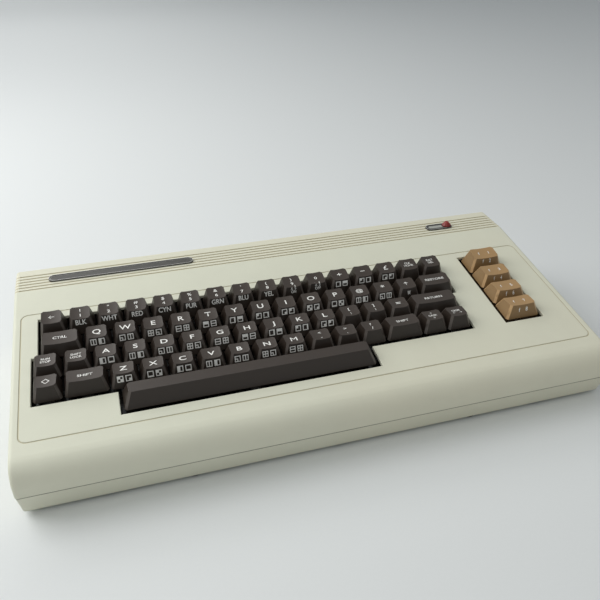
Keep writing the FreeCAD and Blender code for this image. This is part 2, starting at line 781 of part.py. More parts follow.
# A shallow rebate below the rim that shows as a dark line where the shells meet
line_view = sketch(lower, "SeamLineView", shift=("0", "0", "seam_height"))
for inset in ("seam_line_depth", "-overrun"):
    side = f"case_width / 2 - seam_step - {inset}"
    rectangle(line_view, f"-({side})", f"{FRONT} + nose_undercut + seam_step + {inset}", side,
              f"{REAR} - seam_step - {inset}")
seam_line = pocket(lower, "SeamLine", line_view, "seam_line_height")

post_reach = f"({BOARD_SIDE} - post_inset_x)"
post_places = [(x, y) for x in (f"-{post_reach}", "0", post_reach)
               for y in (f"{BOARD_FRONT} + post_inset_y", f"{BOARD_REAR} - post_inset_y")]
floor_level = ("0", "0", "foot_height + floor")
post_view = sketch(lower, "PostView", shift=floor_level)
post_bore_view = sketch(lower, "PostBoreView", shift=("0", "0", "board_underside"))
tower_view = sketch(lower, "TowerView", shift=floor_level)
tower_bore_view = sketch(lower, "TowerBoreView", shift=("0", "0", meeting))
recess_view = sketch(lower, "RecessView", shift=("0", "0", "foot_height + front_screw_recess"))
for x, y in post_places:
    six_sided(post_view, x, y, "post_radius")
    six_sided(post_bore_view, x, y, "board_screw_radius + screw_gap")
for x, y in front_places:
    six_sided(tower_view, x, y, "front_tower_radius")
    six_sided(tower_bore_view, x, y, "front_screw_hole_radius")
    circle(recess_view, x, y, "front_screw_recess_radius")
posts = pad(lower, "Posts", post_view, "board_underside - foot_height - floor")
towers = pad(lower, "Towers", tower_view, f"{meeting} - foot_height - floor")
post_bores = pocket(lower, "PostBores", post_bore_view, "board_screw_hole_depth")
tower_bores = pocket(lower, "TowerBores", tower_bore_view)
recesses = pocket(lower, "Recesses", recess_view)
vent_view = sketch(lower, "VentView", shift=floor_level)
for number in range(VENT_ROWS):
    for side in (-1, 1):
        middle = f"{side} * (post_inset_x + vent_length) * 2"
        level = f"{BOARD_FRONT} + {number + 2} * vent_pitch"
        rectangle(vent_view, f"{middle} - vent_length / 2", f"{level} - vent_width / 2",
                  f"{middle} + vent_length / 2", f"{level} + vent_width / 2")
vents = pocket(lower, "Vents", vent_view)

# Openings for the sockets, through the walls of both shells
board_top = "(board_underside + board_thickness)"
din_middle = f"({board_top} + din_height / 2)"
side_wall = "case_width / 2"


def rear_opening(name, x, width, low, height):
    return box(name, (width, "2 * overrun", height), (x, REAR), low)


def side_opening(name, y, width, low, height):
    return box(name, ("2 * overrun", width, height), (side_wall, y), low)


control_places = [f"{REAR} - control_from_rear + {side} * control_spacing / 2" for side in (-1, 1)]
openings = [
    rear_opening("CartridgeOpening", CARTRIDGE_X, "cartridge_opening_width",
                 f"{board_top} - port_gap", "cartridge_opening_height"),
    rear_opening("UserPortOpening", USER_PORT_X, "user_port_opening_width",
                 "edge_opening_low", "edge_opening_height"),
    rear_opening("CassetteOpening", CASSETTE_X, "cassette_opening_width",
                 "edge_opening_low", "edge_opening_height"),
    side_opening("SwitchOpening", SWITCH_Y, "switch_width + 2 * port_gap",
                 f"{board_top} - port_gap", "switch_height + 2 * port_gap"),
    cylinder("VideoOpening", "din_opening_radius", "2 * overrun", (VIDEO_X, f"{REAR} + overrun"),
             din_middle, turn="90"),
    cylinder("SerialOpening", "din_opening_radius", "2 * overrun", (SERIAL_X, f"{REAR} + overrun"),
             din_middle, turn="90"),
    cylinder("InletOpening", "din_opening_radius", "2 * overrun", (f"{side_wall} - overrun", INLET_Y),
             din_middle, turn="90", axis=Y_AXIS)]
for number, y in enumerate(control_places):
    openings.append(side_opening(f"ControlOpening{number}", y, "control_flange_width + 2 * port_gap",
                                 f"{board_top} - port_gap", "control_flange_height + 2 * port_gap"))
case_openings = group("CaseOpenings", openings)
node(cut("TopCase", shell, case_openings), "top_case")
node(cut("BottomCase", lower, case_openings), "bottom_case")

# Feet and screws of the case
foot_shape = bind(doc.addObject("Part::Cone", "FootShape"), Radius1="foot_radius - foot_draft",
                  Radius2="foot_radius", Height="foot_height")
foot_places = [(f"{side} * foot_front_spacing / 2", f"{FRONT} + foot_front_inset") for side in (-1, 1)]
foot_places += [(f"{side} * foot_rear_spacing / 2", f"{REAR} - foot_rear_inset") for side in (-1, 1)]
node(group("CaseFeet", copies("Foot", foot_shape, foot_places)), "case_feet")


def screw(name, radius, length, head_radius, head_height):
    """A screw seen from its head's bearing face at the origin, with its shank pointing up."""
    shank = prism(name + "Shank", radius, length, "0")
    head = prism(name + "Head", head_radius, head_height, f"-{head_height}", sides=12)
    return joined(name, [shank, head])


case_screw = screw("CaseScrew", "front_screw_radius", "front_screw_length", "front_screw_head_radius",
                   "front_screw_head_height")
case_screws = group("CaseScrews", copies("CaseScrewAt", case_screw, front_places))
node(place(case_screws, z="foot_height + front_screw_recess"), "case_screws")

# Badge, lamp label and lamp on the rear strip


def plate(name, length):
    """A bare plate with a raised rim, seated in the strip's recess."""
    body = doc.addObject("PartDesign::Body", name)
    rim = stadium(sketch(body, name + "Rim"), "0", "0", length, "badge_height / 2")
    pad(body, name + "Plate", rim, "badge_thickness")
    face = stadium(sketch(body, name + "Face", shift=("0", "0", "badge_thickness")), "0", "0",
                   f"{length} - 2 * badge_rim", "badge_height / 2 - badge_rim")
    pocket(body, name + "Sunk", face, "badge_rim_height")
    return body


def in_strip(thing, x, level):
    """Seat a piece on the strip's recess, a level above the strip's surface."""
    y = f"{CREASE_Y} + badge_from_crease * cos(strip_slope) - ({level}) * sin(strip_slope)"
    z = f"{CREASE_Z} + badge_from_crease * sin(strip_slope) + ({level}) * cos(strip_slope)"
    return place(thing, x=x, y=y, z=z, turn="strip_slope")


node(in_strip(plate("NameBadge", "badge_length"), BADGE_X, "-badge_recess"), "name_badge")
label = plate("PowerLabel", "label_length")
lamp_opening = circle(sketch(label, "LampOpening", shift=("0", "0", "badge_thickness")),
                      "lamp_from_label", "0", "lamp_radius + lamp_gap")
pocket(label, "LampOpeningCut", lamp_opening)
node(in_strip(label, LABEL_X, "-badge_recess"), "power_label")
lamp = joined("Lamp", [
    cylinder("LampBody", "lamp_radius", "lamp_depth + lamp_shoulder", low="-lamp_depth"),
    place(bind(doc.addObject("Part::Cone", "LampTip"), Radius1="lamp_radius", Radius2="lamp_tip_radius",
               Height="lamp_height - lamp_shoulder"), z="lamp_shoulder")])
node(in_strip(lamp, LAMP_X, "0"), "power_led")

# Key caps, each drawn about its own centre on the deck's surface


def cap(name, width, height, tilt, taper="cap_side_taper", depth="cap_top_depth", shift="cap_top_shift",
        dished=True):
    """A tapered cap with a tilted, dished top and a square plunger under it."""
    body = doc.addObject("PartDesign::Body", name)
    grow = f"(({height} + cap_sink + cap_trim) / ({height} + cap_sink))"
    half_x = f"({width}) / 2"
    half_y = "(key_pitch - key_gap) / 2"
    crown_x = f"({half_x} - {taper} * {grow})"
    crown_front = f"({half_y} - ({half_y} - {depth} / 2 + {shift}) * {grow})"
    crown_rear = f"({half_y} - ({half_y} - {depth} / 2 - {shift}) * {grow})"
    sides = body.newObject("PartDesign::AdditiveWedge", name + "Sides")
    upright = [feature for feature in body.Origin.OriginFeatures if feature.Role == "XZ_Plane"][0]
    sides.AttachmentSupport = [(upright, "")]
    sides.MapMode = "FlatFace"
    bind(sides, Xmin=f"-{half_x}", Xmax=half_x, Ymin="-cap_sink", Ymax=f"{height} + cap_trim",
         Zmin=f"-{half_y}", Zmax=half_y, X2min=f"-{crown_x}", X2max=crown_x,
         Z2min=f"-{crown_rear}", Z2max=crown_front)
    doc.recompute()
    slanted = [f"Edge{number}" for number, edge in enumerate(sides.Shape.Edges, 1)
               if edge.BoundBox.ZLength > worth("cap_trim")]
    corners = body.newObject("PartDesign::Chamfer", name + "Corners")
    corners.Base = (sides, slanted)
    bind(corners, Size="cap_corner")
    trim = sketch(body, name + "TopView", "XZ_Plane", ("0", height, f"-{shift}"), tilt)
    reach = f"({half_x})"
    if dished:
        half = f"({half_x} - {taper})"
        bend = f"(({half} ^ 2 + dish_sag ^ 2) / (2 * dish_sag))"
        span = math.asin(worth(reach) / worth(bend))
        ring_shape = Part.Circle(FreeCAD.Vector(0, worth(f"{bend} - dish_sag"), 0), Z_AXIS, worth(bend))
        arc = Part.ArcOfCircle(ring_shape, -math.pi / 2 - span, -math.pi / 2 + span)
        right, left = [FreeCAD.Vector(worth(x), worth("overrun"), 0) for x in (reach, f"-{reach}")]
        trim.addGeometry([arc, Part.LineSegment(arc.EndPoint, right), Part.LineSegment(right, left),
                          Part.LineSegment(left, arc.StartPoint)], False)
        for first, second in ((0, 1), (1, 2), (2, 3)):
            trim.addConstraint(Sketcher.Constraint("Coincident", first, 2, second, 1))
        trim.addConstraint(Sketcher.Constraint("Coincident", 3, 2, 0, 1))
        pin_point(trim, 0, 3, "0", f"{bend} - dish_sag")
        bow = trim.addConstraint(Sketcher.Constraint("Radius", 0, worth(bend)))
        trim.setExpression(f"Constraints[{bow}]", formula(bend))
        pin_point(trim, 1, 2, reach, "overrun")
        pin_point(trim, 2, 2, f"-{reach}", "overrun")
        for side in (1, 3):
            trim.addConstraint(Sketcher.Constraint("Vertical", side))
    else:
        rectangle(trim, f"-{reach}", "0", reach, "overrun")
    pocket(body, name + "Top", trim, midplane=True)
    stem = rectangle(sketch(body, name + "StemView", shift=("0", "0", "-cap_sink")), "-plunger_width / 2",
                     "-plunger_width / 2", "plunger_width / 2", "plunger_width / 2")
    pad(body, name + "Stem", stem, "plunger_length", reverse=True)
    return body


def key_width(pitches):
    return f"({pitches} * key_pitch - key_gap)"


ROWS = {1: ("number_row_height", "number_row_tilt"), 2: ("upper_row_height", "upper_row_tilt"),
        3: ("middle_row_height", "middle_row_tilt"), 4: ("lower_row_height", "lower_row_tilt")}
caps = {}


def cap_for(row, pitches, function=False):
    """The cap of a row and width, drawn once."""
    key = (row, pitches, function)
    if key not in caps:
        name = f"Cap{row}x{int(4 * pitches)}{'Function' if function else ''}"
        taper = "function_side_taper" if function else "cap_side_taper"
        caps[key] = cap(name, key_width(pitches), *ROWS[row], taper=taper)
    return caps[key]


# Keys by row, left edge and width, the last two in shares of the key pitch. A bank is one moving set.
BANK_SHARES = {
    "number_keys": (1, [(1 + count, 1) for count in range(10)]),
    "upper_letter_keys": (2, [(1.5 + count, 1) for count in range(10)]),
    "middle_letter_keys": (3, [(1.75 + count, 1) for count in range(9)]),
    "lower_letter_keys": (4, [(2.25 + count, 1) for count in range(7)]),
}
KEY_SHARES = {
    "left_arrow_key": (1, 0, 1), "plus_key": (1, 11, 1), "minus_key": (1, 12, 1), "pound_key": (1, 13, 1),
    "home_key": (1, 14, 1), "delete_key": (1, 15, 1), "ctrl_key": (2, 0, 1.5), "at_key": (2, 11.5, 1),
    "asterisk_key": (2, 12.5, 1), "up_arrow_key": (2, 13.5, 1), "restore_key": (2, 14.5, 1.5),
    "run_stop_key": (3, -0.25, 1), "shift_lock_key": (3, 0.75, 1), "colon_key": (3, 10.75, 1),
    "semicolon_key": (3, 11.75, 1), "equals_key": (3, 12.75, 1), "return_key": (3, 13.75, 2),
    "symbol_key": (4, -0.25, 1), "left_shift_key": (4, 0.75, 1.5), "comma_key": (4, 9.25, 1),
    "period_key": (4, 10.25, 1), "slash_key": (4, 11.25, 1), "right_shift_key": (4, 12.25, 1.5),
    "cursor_vertical_key": (4, 13.75, 1), "cursor_horizontal_key": (4, 14.75, 1),
    "function_key_1": (1, 17.25, 1.5), "function_key_3": (2, 17.25, 1.5),
    "function_key_5": (3, 17.25, 1.5), "function_key_7": (4, 17.25, 1.5),
}
key_places = []


def key_place(row, left, pitches):
    spot = (across(left + pitches / 2), down(row - 0.5))
    key_places.append(spot)
    return spot


for name, (row, members) in BANK_SHARES.items():
    spots = [key_place(row, left, pitches) for left, pitches in members]
    node(on_deck(group(name + "_set", copies(name + "_at", cap_for(row, 1), spots))), name)
for name, (row, left, pitches) in KEY_SHARES.items():
    function = name.startswith("function")
    spot = key_place(row, left, pitches)
    node(on_deck(group(name + "_set", copies(name + "_at", cap_for(row, pitches, function), [spot]))), name)

# Space bar, with a hook near each end for the stabiliser wire
bar = cap("SpaceBar", "space_bar_width", "space_row_height", "space_row_tilt", taper="space_side_taper",
          depth="space_top_depth", shift="space_top_shift", dished=False)
wire_drop = "(wire_pivot_drop - wire_toe_drop)"
toe_rest = f"(wire_setback - sqrt(wire_arm ^ 2 - {wire_drop} ^ 2))"
toe_pressed = f"(wire_setback - sqrt(wire_arm ^ 2 - ({wire_drop} - key_travel) ^ 2))"
slot_front = f"({toe_pressed} - wire_radius - hook_gap)"
slot_rear = f"({toe_rest} + wire_radius + hook_gap)"
hook_low = "(-wire_toe_drop - wire_radius - hook_gap - hook_wall)"
hook_x = "(wire_span / 2 - wire_radius - hook_gap - hook_width / 2)"
for side in (-1, 1):
    hook_view = sketch(bar, f"HookView{side + 2}", "YZ_Plane", ("0", "0", f"{side} * {hook_x}"))
    rectangle(hook_view, f"{slot_front} - hook_wall", hook_low, f"{slot_rear} + hook_wall", "-cap_sink")
    rectangle(hook_view, slot_front, f"{hook_low} + hook_wall", slot_rear,
              "-wire_toe_drop + wire_radius + hook_gap")
    pad(bar, f"Hook{side + 2}", hook_view, "hook_width", midplane=True)
key_places.append((space_x, space_y))
node(on_deck(group("space_bar_set", copies("space_bar_at", bar, [(space_x, space_y)]))), "space_bar")

# Keyboard frame: a flanged tray with a square guide for each key, under the deck
frame_middle = (f"({frame_left} + {frame_right}) / 2", f"({frame_front} + {frame_rear}) / 2")
frame_size = (f"({frame_right} - {frame_left})", f"({frame_rear} - {frame_front})")
frame_low = "(-frame_drop - frame_thickness)"
flange_plate = box("FlangePlate", tuple(f"{size} + 2 * frame_flange" for size in frame_size)
                   + ("frame_thickness",), frame_middle, frame_low)
skirt_outside = box("SkirtOutside", frame_size + ("frame_skirt_drop - frame_drop",), frame_middle,
                    "-frame_skirt_drop")
skirt_inside = box("SkirtInside", tuple(f"{size} - 2 * frame_skirt_thickness" for size in frame_size)
                   + (f"{frame_low} + frame_skirt_drop + overrun",), frame_middle,
                   "-frame_skirt_drop - overrun")
guide_outer = "plunger_width + 2 * (guide_gap + guide_wall)"
guide_inner = "plunger_width + 2 * guide_gap"
guide_block = box("GuideBlock", (guide_outer, guide_outer, "guide_height + frame_thickness"), low=frame_low)
guide_hole = box("GuideHole", (guide_inner, guide_inner, "2 * overrun"), low="-frame_drop - overrun")
guides = group("Guides", copies("GuideAt", guide_block, key_places))
guide_holes = group("GuideHoles", copies("GuideHoleAt", guide_hole, key_places))
clip_block = box("ClipBlock", ("clip_width", "2 * (wire_radius + clip_wall)",
                               "frame_drop - wire_pivot_drop + wire_radius + clip_wall"), low="-frame_drop")
wire_y = f"{space_y} + wire_setback"
clips = group("Clips", copies("ClipAt", clip_block, [(f"{space_x} + {side} * clip_spacing / 2", wire_y)
                                                     for side in (-1, 1)]))
clip_bore = cylinder("ClipBore", "wire_radius + wire_running_gap", "2 * clip_spacing",
                     (f"{space_x} - clip_spacing", wire_y), "-wire_pivot_drop", turn="90", axis=Y_AXIS)
window = box("HookWindow", ("hook_width + 2 * hook_window",
                            f"{slot_rear} - {slot_front} + 2 * (hook_wall + hook_window)", "2 * overrun"),
             low="-frame_drop - overrun")
windows = group("HookWindows", copies("HookWindowAt", window, [
    (f"{space_x} + {side} * {hook_x}", f"{space_y} + ({slot_front} + {slot_rear}) / 2") for side in (-1, 1)]))
screw_hole = cylinder("FrameScrewHole", "keyboard_screw_radius + screw_clearance", "2 * overrun",
                      low="-frame_drop - overrun")
screw_holes = group("FrameScrewHoles", copies("FrameScrewHoleAt", screw_hole, boss_places))
frame_solid = joined("FrameSolid", [cut("FrameSkirt", joined("FrameBlank", [flange_plate, skirt_outside]),
                                        skirt_inside), guides, clips])
frame_holes = group("FrameHoles", [guide_holes, clip_bore, windows, screw_holes])
node(on_deck(cut("KeyboardFrame", frame_solid, frame_holes)), "keyboard_frame")

keyboard_board = box("KeyboardBoard", frame_size + ("board_thickness",), frame_middle,
                     "-frame_skirt_drop - board_thickness")
node(on_deck(group("KeyboardBoards", [keyboard_board])), "keyboard_board")
keyboard_screw = screw("KeyboardScrew", "keyboard_screw_radius", "keyboard_screw_length",
                       "keyboard_screw_head_radius", "keyboard_screw_head_height")
lowered_screw = group("LoweredScrew", [place(keyboard_screw, z=frame_low)])
node(on_deck(group("KeyboardScrews", copies("KeyboardScrewAt", lowered_screw, boss_places))),
     "keyboard_screws")

spring = cut("Spring", prism("SpringOutside", "spring_outer_radius", "spring_pressed_height", "-frame_drop"),
             prism("SpringInside", "spring_inner_radius", "2 * overrun", "-frame_drop - overrun"))
node(on_deck(group("KeySprings", copies("SpringAt", spring, key_places))), "key_springs")

# Stabiliser wire: one bent wire, drawn flat about its hinge line and turned up to the hooks
wire = doc.addObject("PartDesign::Body", "StabiliserWire")
bends = [("-wire_span / 2 + wire_toe", "-wire_arm"), ("-wire_span / 2", "-wire_arm"), ("-wire_span / 2", "0"),
         ("wire_span / 2", "0"), ("wire_span / 2", "-wire_arm"), ("wire_span / 2 - wire_toe", "-wire_arm")]
route = sketch(wire, "WireRoute")
turns = [FreeCAD.Vector(worth(x), worth(y), 0) for x, y in bends]
route.addGeometry([Part.LineSegment(start, end) for start, end in zip(turns, turns[1:])], False)
for number, (x, y) in enumerate(bends[:-1]):
    pin_point(route, number, 1, x, y)
    if number:
        route.addConstraint(Sketcher.Constraint("Coincident", number - 1, 2, number, 1))
pin_point(route, len(bends) - 2, 2, *bends[-1])
wire_section = circle(sketch(wire, "WireSection", "YZ_Plane", ("0", "0", bends[0][0])), "-wire_arm", "0",
                      "wire_radius")
pipe = wire.newObject("PartDesign::AdditivePipe", "WirePipe")
pipe.Profile = wire_section
pipe.Spine = (route, [f"Edge{number}" for number in range(1, len(bends))])
pipe.Transition = "Right corner"
wire_rise = f"nose_height + ({wire_y}) * sin(deck_slope) - wire_pivot_drop * cos(deck_slope)"
wire_run = f"{FRONT} + ({wire_y}) * cos(deck_slope) + wire_pivot_drop * sin(deck_slope)"
wire_lean = f"deck_slope * 1 deg - asin({wire_drop} / wire_arm)"
node(place(wire, x=space_x, y=wire_run, z=wire_rise, turn=wire_lean), "space_bar_wire")

# Main board, with the two edge connectors as tongues, and its screws
board = doc.addObject("PartDesign::Body", "MainBoard")


def tongue(x, width):
    """The rear edge's corner points round one tongue, from right to left."""
    right = f"{x} + {width} / 2"
    left = f"{x} - {width} / 2"
    return [(right, BOARD_REAR), (right, f"{BOARD_REAR} + finger_reach"),
            (left, f"{BOARD_REAR} + finger_reach"), (left, BOARD_REAR)]


board_view = outline(sketch(board, "BoardView", shift=("0", "0", "board_underside")), [
    (f"-{BOARD_SIDE}", BOARD_FRONT), (f"{BOARD_SIDE} - main_board_step_width", BOARD_FRONT),
    (f"{BOARD_SIDE} - main_board_step_width", f"{BOARD_FRONT} - main_board_step_depth"),
    (BOARD_SIDE, f"{BOARD_FRONT} - main_board_step_depth"), (BOARD_SIDE, BOARD_REAR)]
    + tongue(CASSETTE_X, "cassette_finger_width") + tongue(USER_PORT_X, "user_port_finger_width")
    + [(f"-{BOARD_SIDE}", BOARD_REAR)])
pad(board, "BoardPlate", board_view, "board_thickness")
board_holes = sketch(board, "BoardHoles", shift=("0", "0", board_top))
for x, y in post_places:
    six_sided(board_holes, x, y, "board_screw_hole_radius")
pocket(board, "BoardHolesCut", board_holes)
node(board, "main_board")
board_screw = screw("BoardScrew", "board_screw_radius", "board_screw_length", "board_screw_head_radius",
                    "board_screw_head_height")
board_screw.Placement = FreeCAD.Placement(FreeCAD.Vector(), FreeCAD.Rotation(X_AXIS, 180))
turned_screw = group("TurnedScrew", [board_screw])
node(place(group("BoardScrews", copies("BoardScrewAt", turned_screw, post_places)), z=board_top),
     "board_screws")

# Parts soldered to the main board


def chip(name, length, width):
    """A moulded chip with a notch at its left end."""
    notch = box(name + "Notch", ("2 * chip_notch_radius", "2 * chip_notch_radius", "overrun"),
                (f"-{length} / 2", "0"), "chip_height / 2")
    return cut(name, box(name + "Body", (length, width, "chip_height")), notch)


long_chip = chip("LongChip", "chip_long", "chip_long_width")
short_chip = chip("ShortChip", "chip_short", "chip_short_width")
long_places = [(x, f"{BOARD_REAR} - chip_first_inset + {number} * chip_row_pitch")
               for x in (f"-({BOARD_SIDE} - chip_left_inset)", "chip_middle_x")
               for number in range(CHIP_ROWS)]
short_places = [("chip_short_x", f"{BOARD_REAR} - chip_short_inset + {number} * chip_short_pitch")
                for number in range(SHORT_CHIPS)]
chips = group("Chips", copies("LongChipAt", long_chip, long_places)
              + copies("ShortChipAt", short_chip, short_places))
node(place(chips, z=board_top), "chips")
can = prism("Can", "capacitor_radius", "capacitor_height", "0", sides=16)
can_places = [(f"{BOARD_SIDE} - capacitor_side_inset",
               f"{BOARD_REAR} - capacitor_inset + {number} * capacitor_pitch")
              for number in range(CAPACITORS)]
cans = group("Cans", copies("CanAt", can, can_places))
node(place(cans, z=board_top), "capacitors")
sink_base = box("SinkBase", ("sink_width", "sink_depth", "sink_base"))
sink_fin = box("SinkFin", ("sink_width", "sink_fin_thickness", "sink_base + sink_fin_height"))
fin_pitch = f"(sink_depth - sink_fin_thickness) / {SINK_FINS - 1}"
fins = copies("SinkFinAt", sink_fin, [("0", f"({number - (SINK_FINS - 1) / 2}) * {fin_pitch}")
                                      for number in range(SINK_FINS)])
sink = joined("Sink", [sink_base] + fins)
node(place(sink, x=f"{BOARD_SIDE} - sink_side_inset", y=f"{BOARD_REAR} - sink_inset", z=board_top),
     "heat_sink")
shield_outside = box("ShieldOutside", ("shield_width", "shield_depth", "shield_height"))
shield_inside = box("ShieldInside", tuple(f"{size} - 2 * shield_sheet"
                                          for size in ("shield_width", "shield_depth", "shield_height")),
                    low="-shield_sheet")
shield = cut("Shield", shield_outside, shield_inside)
node(place(shield, x=SHIELD_X, y=f"{BOARD_REAR} - shield_inset", z=board_top), "rf_shield")

# Sockets, each resting on the main board behind its opening
slot_y = f"({BOARD_REAR} + finger_reach / 2 - cartridge_depth / 2)"
slot_block = box("CartridgeBlock", ("cartridge_width", "cartridge_depth", "cartridge_height"),
                 (CARTRIDGE_X, slot_y), board_top)
slot_cut = box("CartridgeSlot", ("cartridge_slot_width", "2 * cartridge_slot_depth", "cartridge_slot_height"),
               (CARTRIDGE_X, f"{slot_y} + cartridge_depth / 2"),
               f"{board_top} + (cartridge_height - cartridge_slot_height) / 2")
node(cut("CartridgeConnector", slot_block, slot_cut), "cartridge_connector")


def round_socket(name):
    """A square block with a round recess in its rear face, which is at y = 0."""
    block = box(name + "Block", ("din_width", "din_depth", "din_height"), ("0", "-din_depth / 2"))
    recess = cylinder(name + "Recess", "din_recess_radius", "2 * din_recess", ("0", "din_recess"),
                      "din_height / 2", turn="90")
    return cut(name, block, recess)


socket_face = f"{REAR} - din_set_back"
node(place(round_socket("VideoSocket"), x=VIDEO_X, y=socket_face, z=board_top), "video_socket")
node(place(round_socket("SerialSocket"), x=SERIAL_X, y=socket_face, z=board_top), "serial_socket")
node(place(round_socket("PowerInlet"), x=f"{side_wall} - din_set_back", y=INLET_Y, z=board_top,
           turn="-90", axis=Z_AXIS), "power_inlet")

control = doc.addObject("PartDesign::Body", "ControlSocket")
flange = rectangle(sketch(control, "ControlFlange", "YZ_Plane"), "-control_flange_width / 2", "0",
                   "control_flange_width / 2", "control_flange_height")
pad(control, "ControlBlock", flange, "control_depth", reverse=True)
middle = "control_flange_height / 2"


def d_outline(drawing, inset):
    """The socket's outline, narrower at the bottom, taken in by an inset."""
    high = f"{middle} + control_shell_height / 2 - {inset}"
    low = f"{middle} - control_shell_height / 2 + {inset}"
    wide = f"control_shell_width / 2 - {inset}"
    narrow = f"control_shell_narrow / 2 - {inset}"
    return outline(drawing, [(f"-({wide})", high), (f"-({narrow})", low), (narrow, low), (wide, high)])


shell_view = d_outline(d_outline(sketch(control, "ControlShell", "YZ_Plane"), "0"), "control_shell_wall")
pad(control, "ControlRim", shell_view, "control_shell_reach")
mouth_view = d_outline(sketch(control, "ControlMouth", "YZ_Plane"), "control_shell_wall")
pocket(control, "ControlHollow", mouth_view, "control_recess")
control_sockets = group("ControlPorts", copies("ControlPort", control, [("0", y) for y in control_places]))
node(place(control_sockets, x=f"{side_wall} - control_set_back", z=board_top), "control_port")

# Power switch: a housing on the board with a rocker on two pins
housing_block = box("SwitchBlock", ("switch_depth", "switch_width", "switch_height"),
                    ("-switch_depth / 2", "0"))
housing_cavity = box("SwitchCavity",
                     ("2 * switch_cavity_depth", "switch_cavity_width", "switch_cavity_height"),
                     low="(switch_height - switch_cavity_height) / 2")
pin_hole = cylinder("RockerPinHole", "rocker_pin_radius + rocker_pin_gap",
                    "switch_cavity_height + 2 * (rocker_pin_reach + guide_gap)", ("-rocker_pivot_depth", "0"),
                    "(switch_height - switch_cavity_height) / 2 - rocker_pin_reach - guide_gap")
housing = cut("SwitchHousing", housing_block, group("SwitchHollow", [housing_cavity, pin_hole]))
switch_face = f"{side_wall} - switch_set_back"
node(place(housing, x=switch_face, y=SWITCH_Y, z=board_top), "power_switch_housing")
rocker = doc.addObject("PartDesign::Body", "Rocker")
rocker_view = outline(sketch(rocker, "RockerView"), [
    ("rocker_pivot_depth + rocker_end_reach", "-rocker_half_width"),
    ("rocker_pivot_depth + rocker_mid_reach", "0"),
    ("rocker_pivot_depth + rocker_end_reach", "rocker_half_width"), ("rocker_heel", "rocker_half_width"),
    ("-rocker_belly", "rocker_belly_half_width"), ("-rocker_belly", "-rocker_belly_half_width"),
    ("rocker_heel", "-rocker_half_width")])
pad(rocker, "RockerBody", rocker_view, "rocker_height", midplane=True)
pin_view = circle(sketch(rocker, "RockerPinView"), "0", "0", "rocker_pin_radius")
pad(rocker, "RockerPins", pin_view, "switch_cavity_height + 2 * rocker_pin_reach - 2 * guide_gap",
    midplane=True)
node(place(rocker, x=f"{switch_face} - rocker_pivot_depth", y=SWITCH_Y,
           z=f"{board_top} + switch_height / 2", turn="rocker_tilt", axis=Z_AXIS), "power_rocker")

# Flat cable from the keyboard's board down to a plug on the main board
plug_y = f"({frame_rear} - ribbon_plug_from_rear)"
plug_drop = "(frame_skirt_drop + board_thickness + ribbon_plug_height)"
plug = on_deck(group("PlugSeat", [box("UpperPlug", ("ribbon_plug_width", "ribbon_plug_depth",
                                                   "ribbon_plug_height"),
                                      (RIBBON_X, plug_y), f"-{plug_drop}")]))
header = box("LowerPlug", ("ribbon_plug_width", "ribbon_plug_depth", "ribbon_plug_height"),
             (RIBBON_X, HEADER_Y), board_top)
start_y = f"({FRONT} + {plug_y} * cos(deck_slope) + {plug_drop} * sin(deck_slope))"
start_z = f"(nose_height + {plug_y} * sin(deck_slope) - {plug_drop} * cos(deck_slope))"
end_z = f"({board_top} + ribbon_plug_height)"
half_tape = "ribbon_thickness / 2"
ribbon = doc.addObject("PartDesign::Body", "Ribbon")
ribbon_view = outline(sketch(ribbon, "RibbonView", "YZ_Plane", ("0", "0", RIBBON_X)), [
    (f"{start_y} - {half_tape}", f"{start_z} + ribbon_sink"),
    (f"{start_y} - {half_tape}", f"ribbon_level - {half_tape}"),
    (f"{HEADER_Y} - {half_tape}", f"ribbon_level - {half_tape}"),
    (f"{HEADER_Y} - {half_tape}", f"{end_z} - ribbon_sink"),
    (f"{HEADER_Y} + {half_tape}", f"{end_z} - ribbon_sink"),
    (f"{HEADER_Y} + {half_tape}", f"ribbon_level + {half_tape}"),
    (f"{start_y} + {half_tape}", f"ribbon_level + {half_tape}"),
    (f"{start_y} + {half_tape}", f"{start_z} + ribbon_sink")])
tape = pad(ribbon, "Tape", ribbon_view, "ribbon_width", midplane=True)


def bend_edge(side):
    """Pick the bends of the tape that lie on one side of it, inner or outer."""
    inner = [(f"{start_y} + {half_tape}", f"ribbon_level + {half_tape}"),
             (f"{HEADER_Y} - {half_tape}", f"ribbon_level - {half_tape}")]
    outer = [(f"{start_y} - {half_tape}", f"ribbon_level - {half_tape}"),
             (f"{HEADER_Y} + {half_tape}", f"ribbon_level + {half_tape}")]

    def wanted(edge):
        return runs_along(edge, X_AXIS) and any(
            near(edge.BoundBox.YMin, y) and near(edge.BoundBox.ZMin, z)
            for y, z in (inner if side == "inner" else outer))
    return wanted


inner_bends = fillet(ribbon, "InnerBends", tape, "ribbon_bend", bend_edge("inner"))
outer_bends = fillet(ribbon, "OuterBends", inner_bends, "ribbon_bend + ribbon_thickness", bend_edge("outer"))
node(joined("KeyboardCable", [plug, ribbon, header]), "keyboard_cable")

# Check every object and write one file per node
doc.recompute()
for thing in doc.Objects:
    if "Invalid" in thing.State or "Error" in thing.State:
        raise RuntimeError(f"{thing.Name} did not build: {thing.State}")
os.makedirs("parts", exist_ok=True)
for thing in nodes:
    if thing.Shape.isNull() or not thing.Shape.isValid():
        raise RuntimeError(f"{thing.Label} has no valid shape")
    thing.Shape.exportStep(f"parts/{thing.Label}.step")
print(len(nodes), "nodes written")
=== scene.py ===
"""Looks for a wedge-shaped home computer: finishes, key lettering, plates, sockets and a studio."""

import math

import bmesh
import bpy
from bpy.props import FloatProperty, FloatVectorProperty, PointerProperty
from mathutils import Matrix, Vector
from mathutils.bvhtree import BVHTree


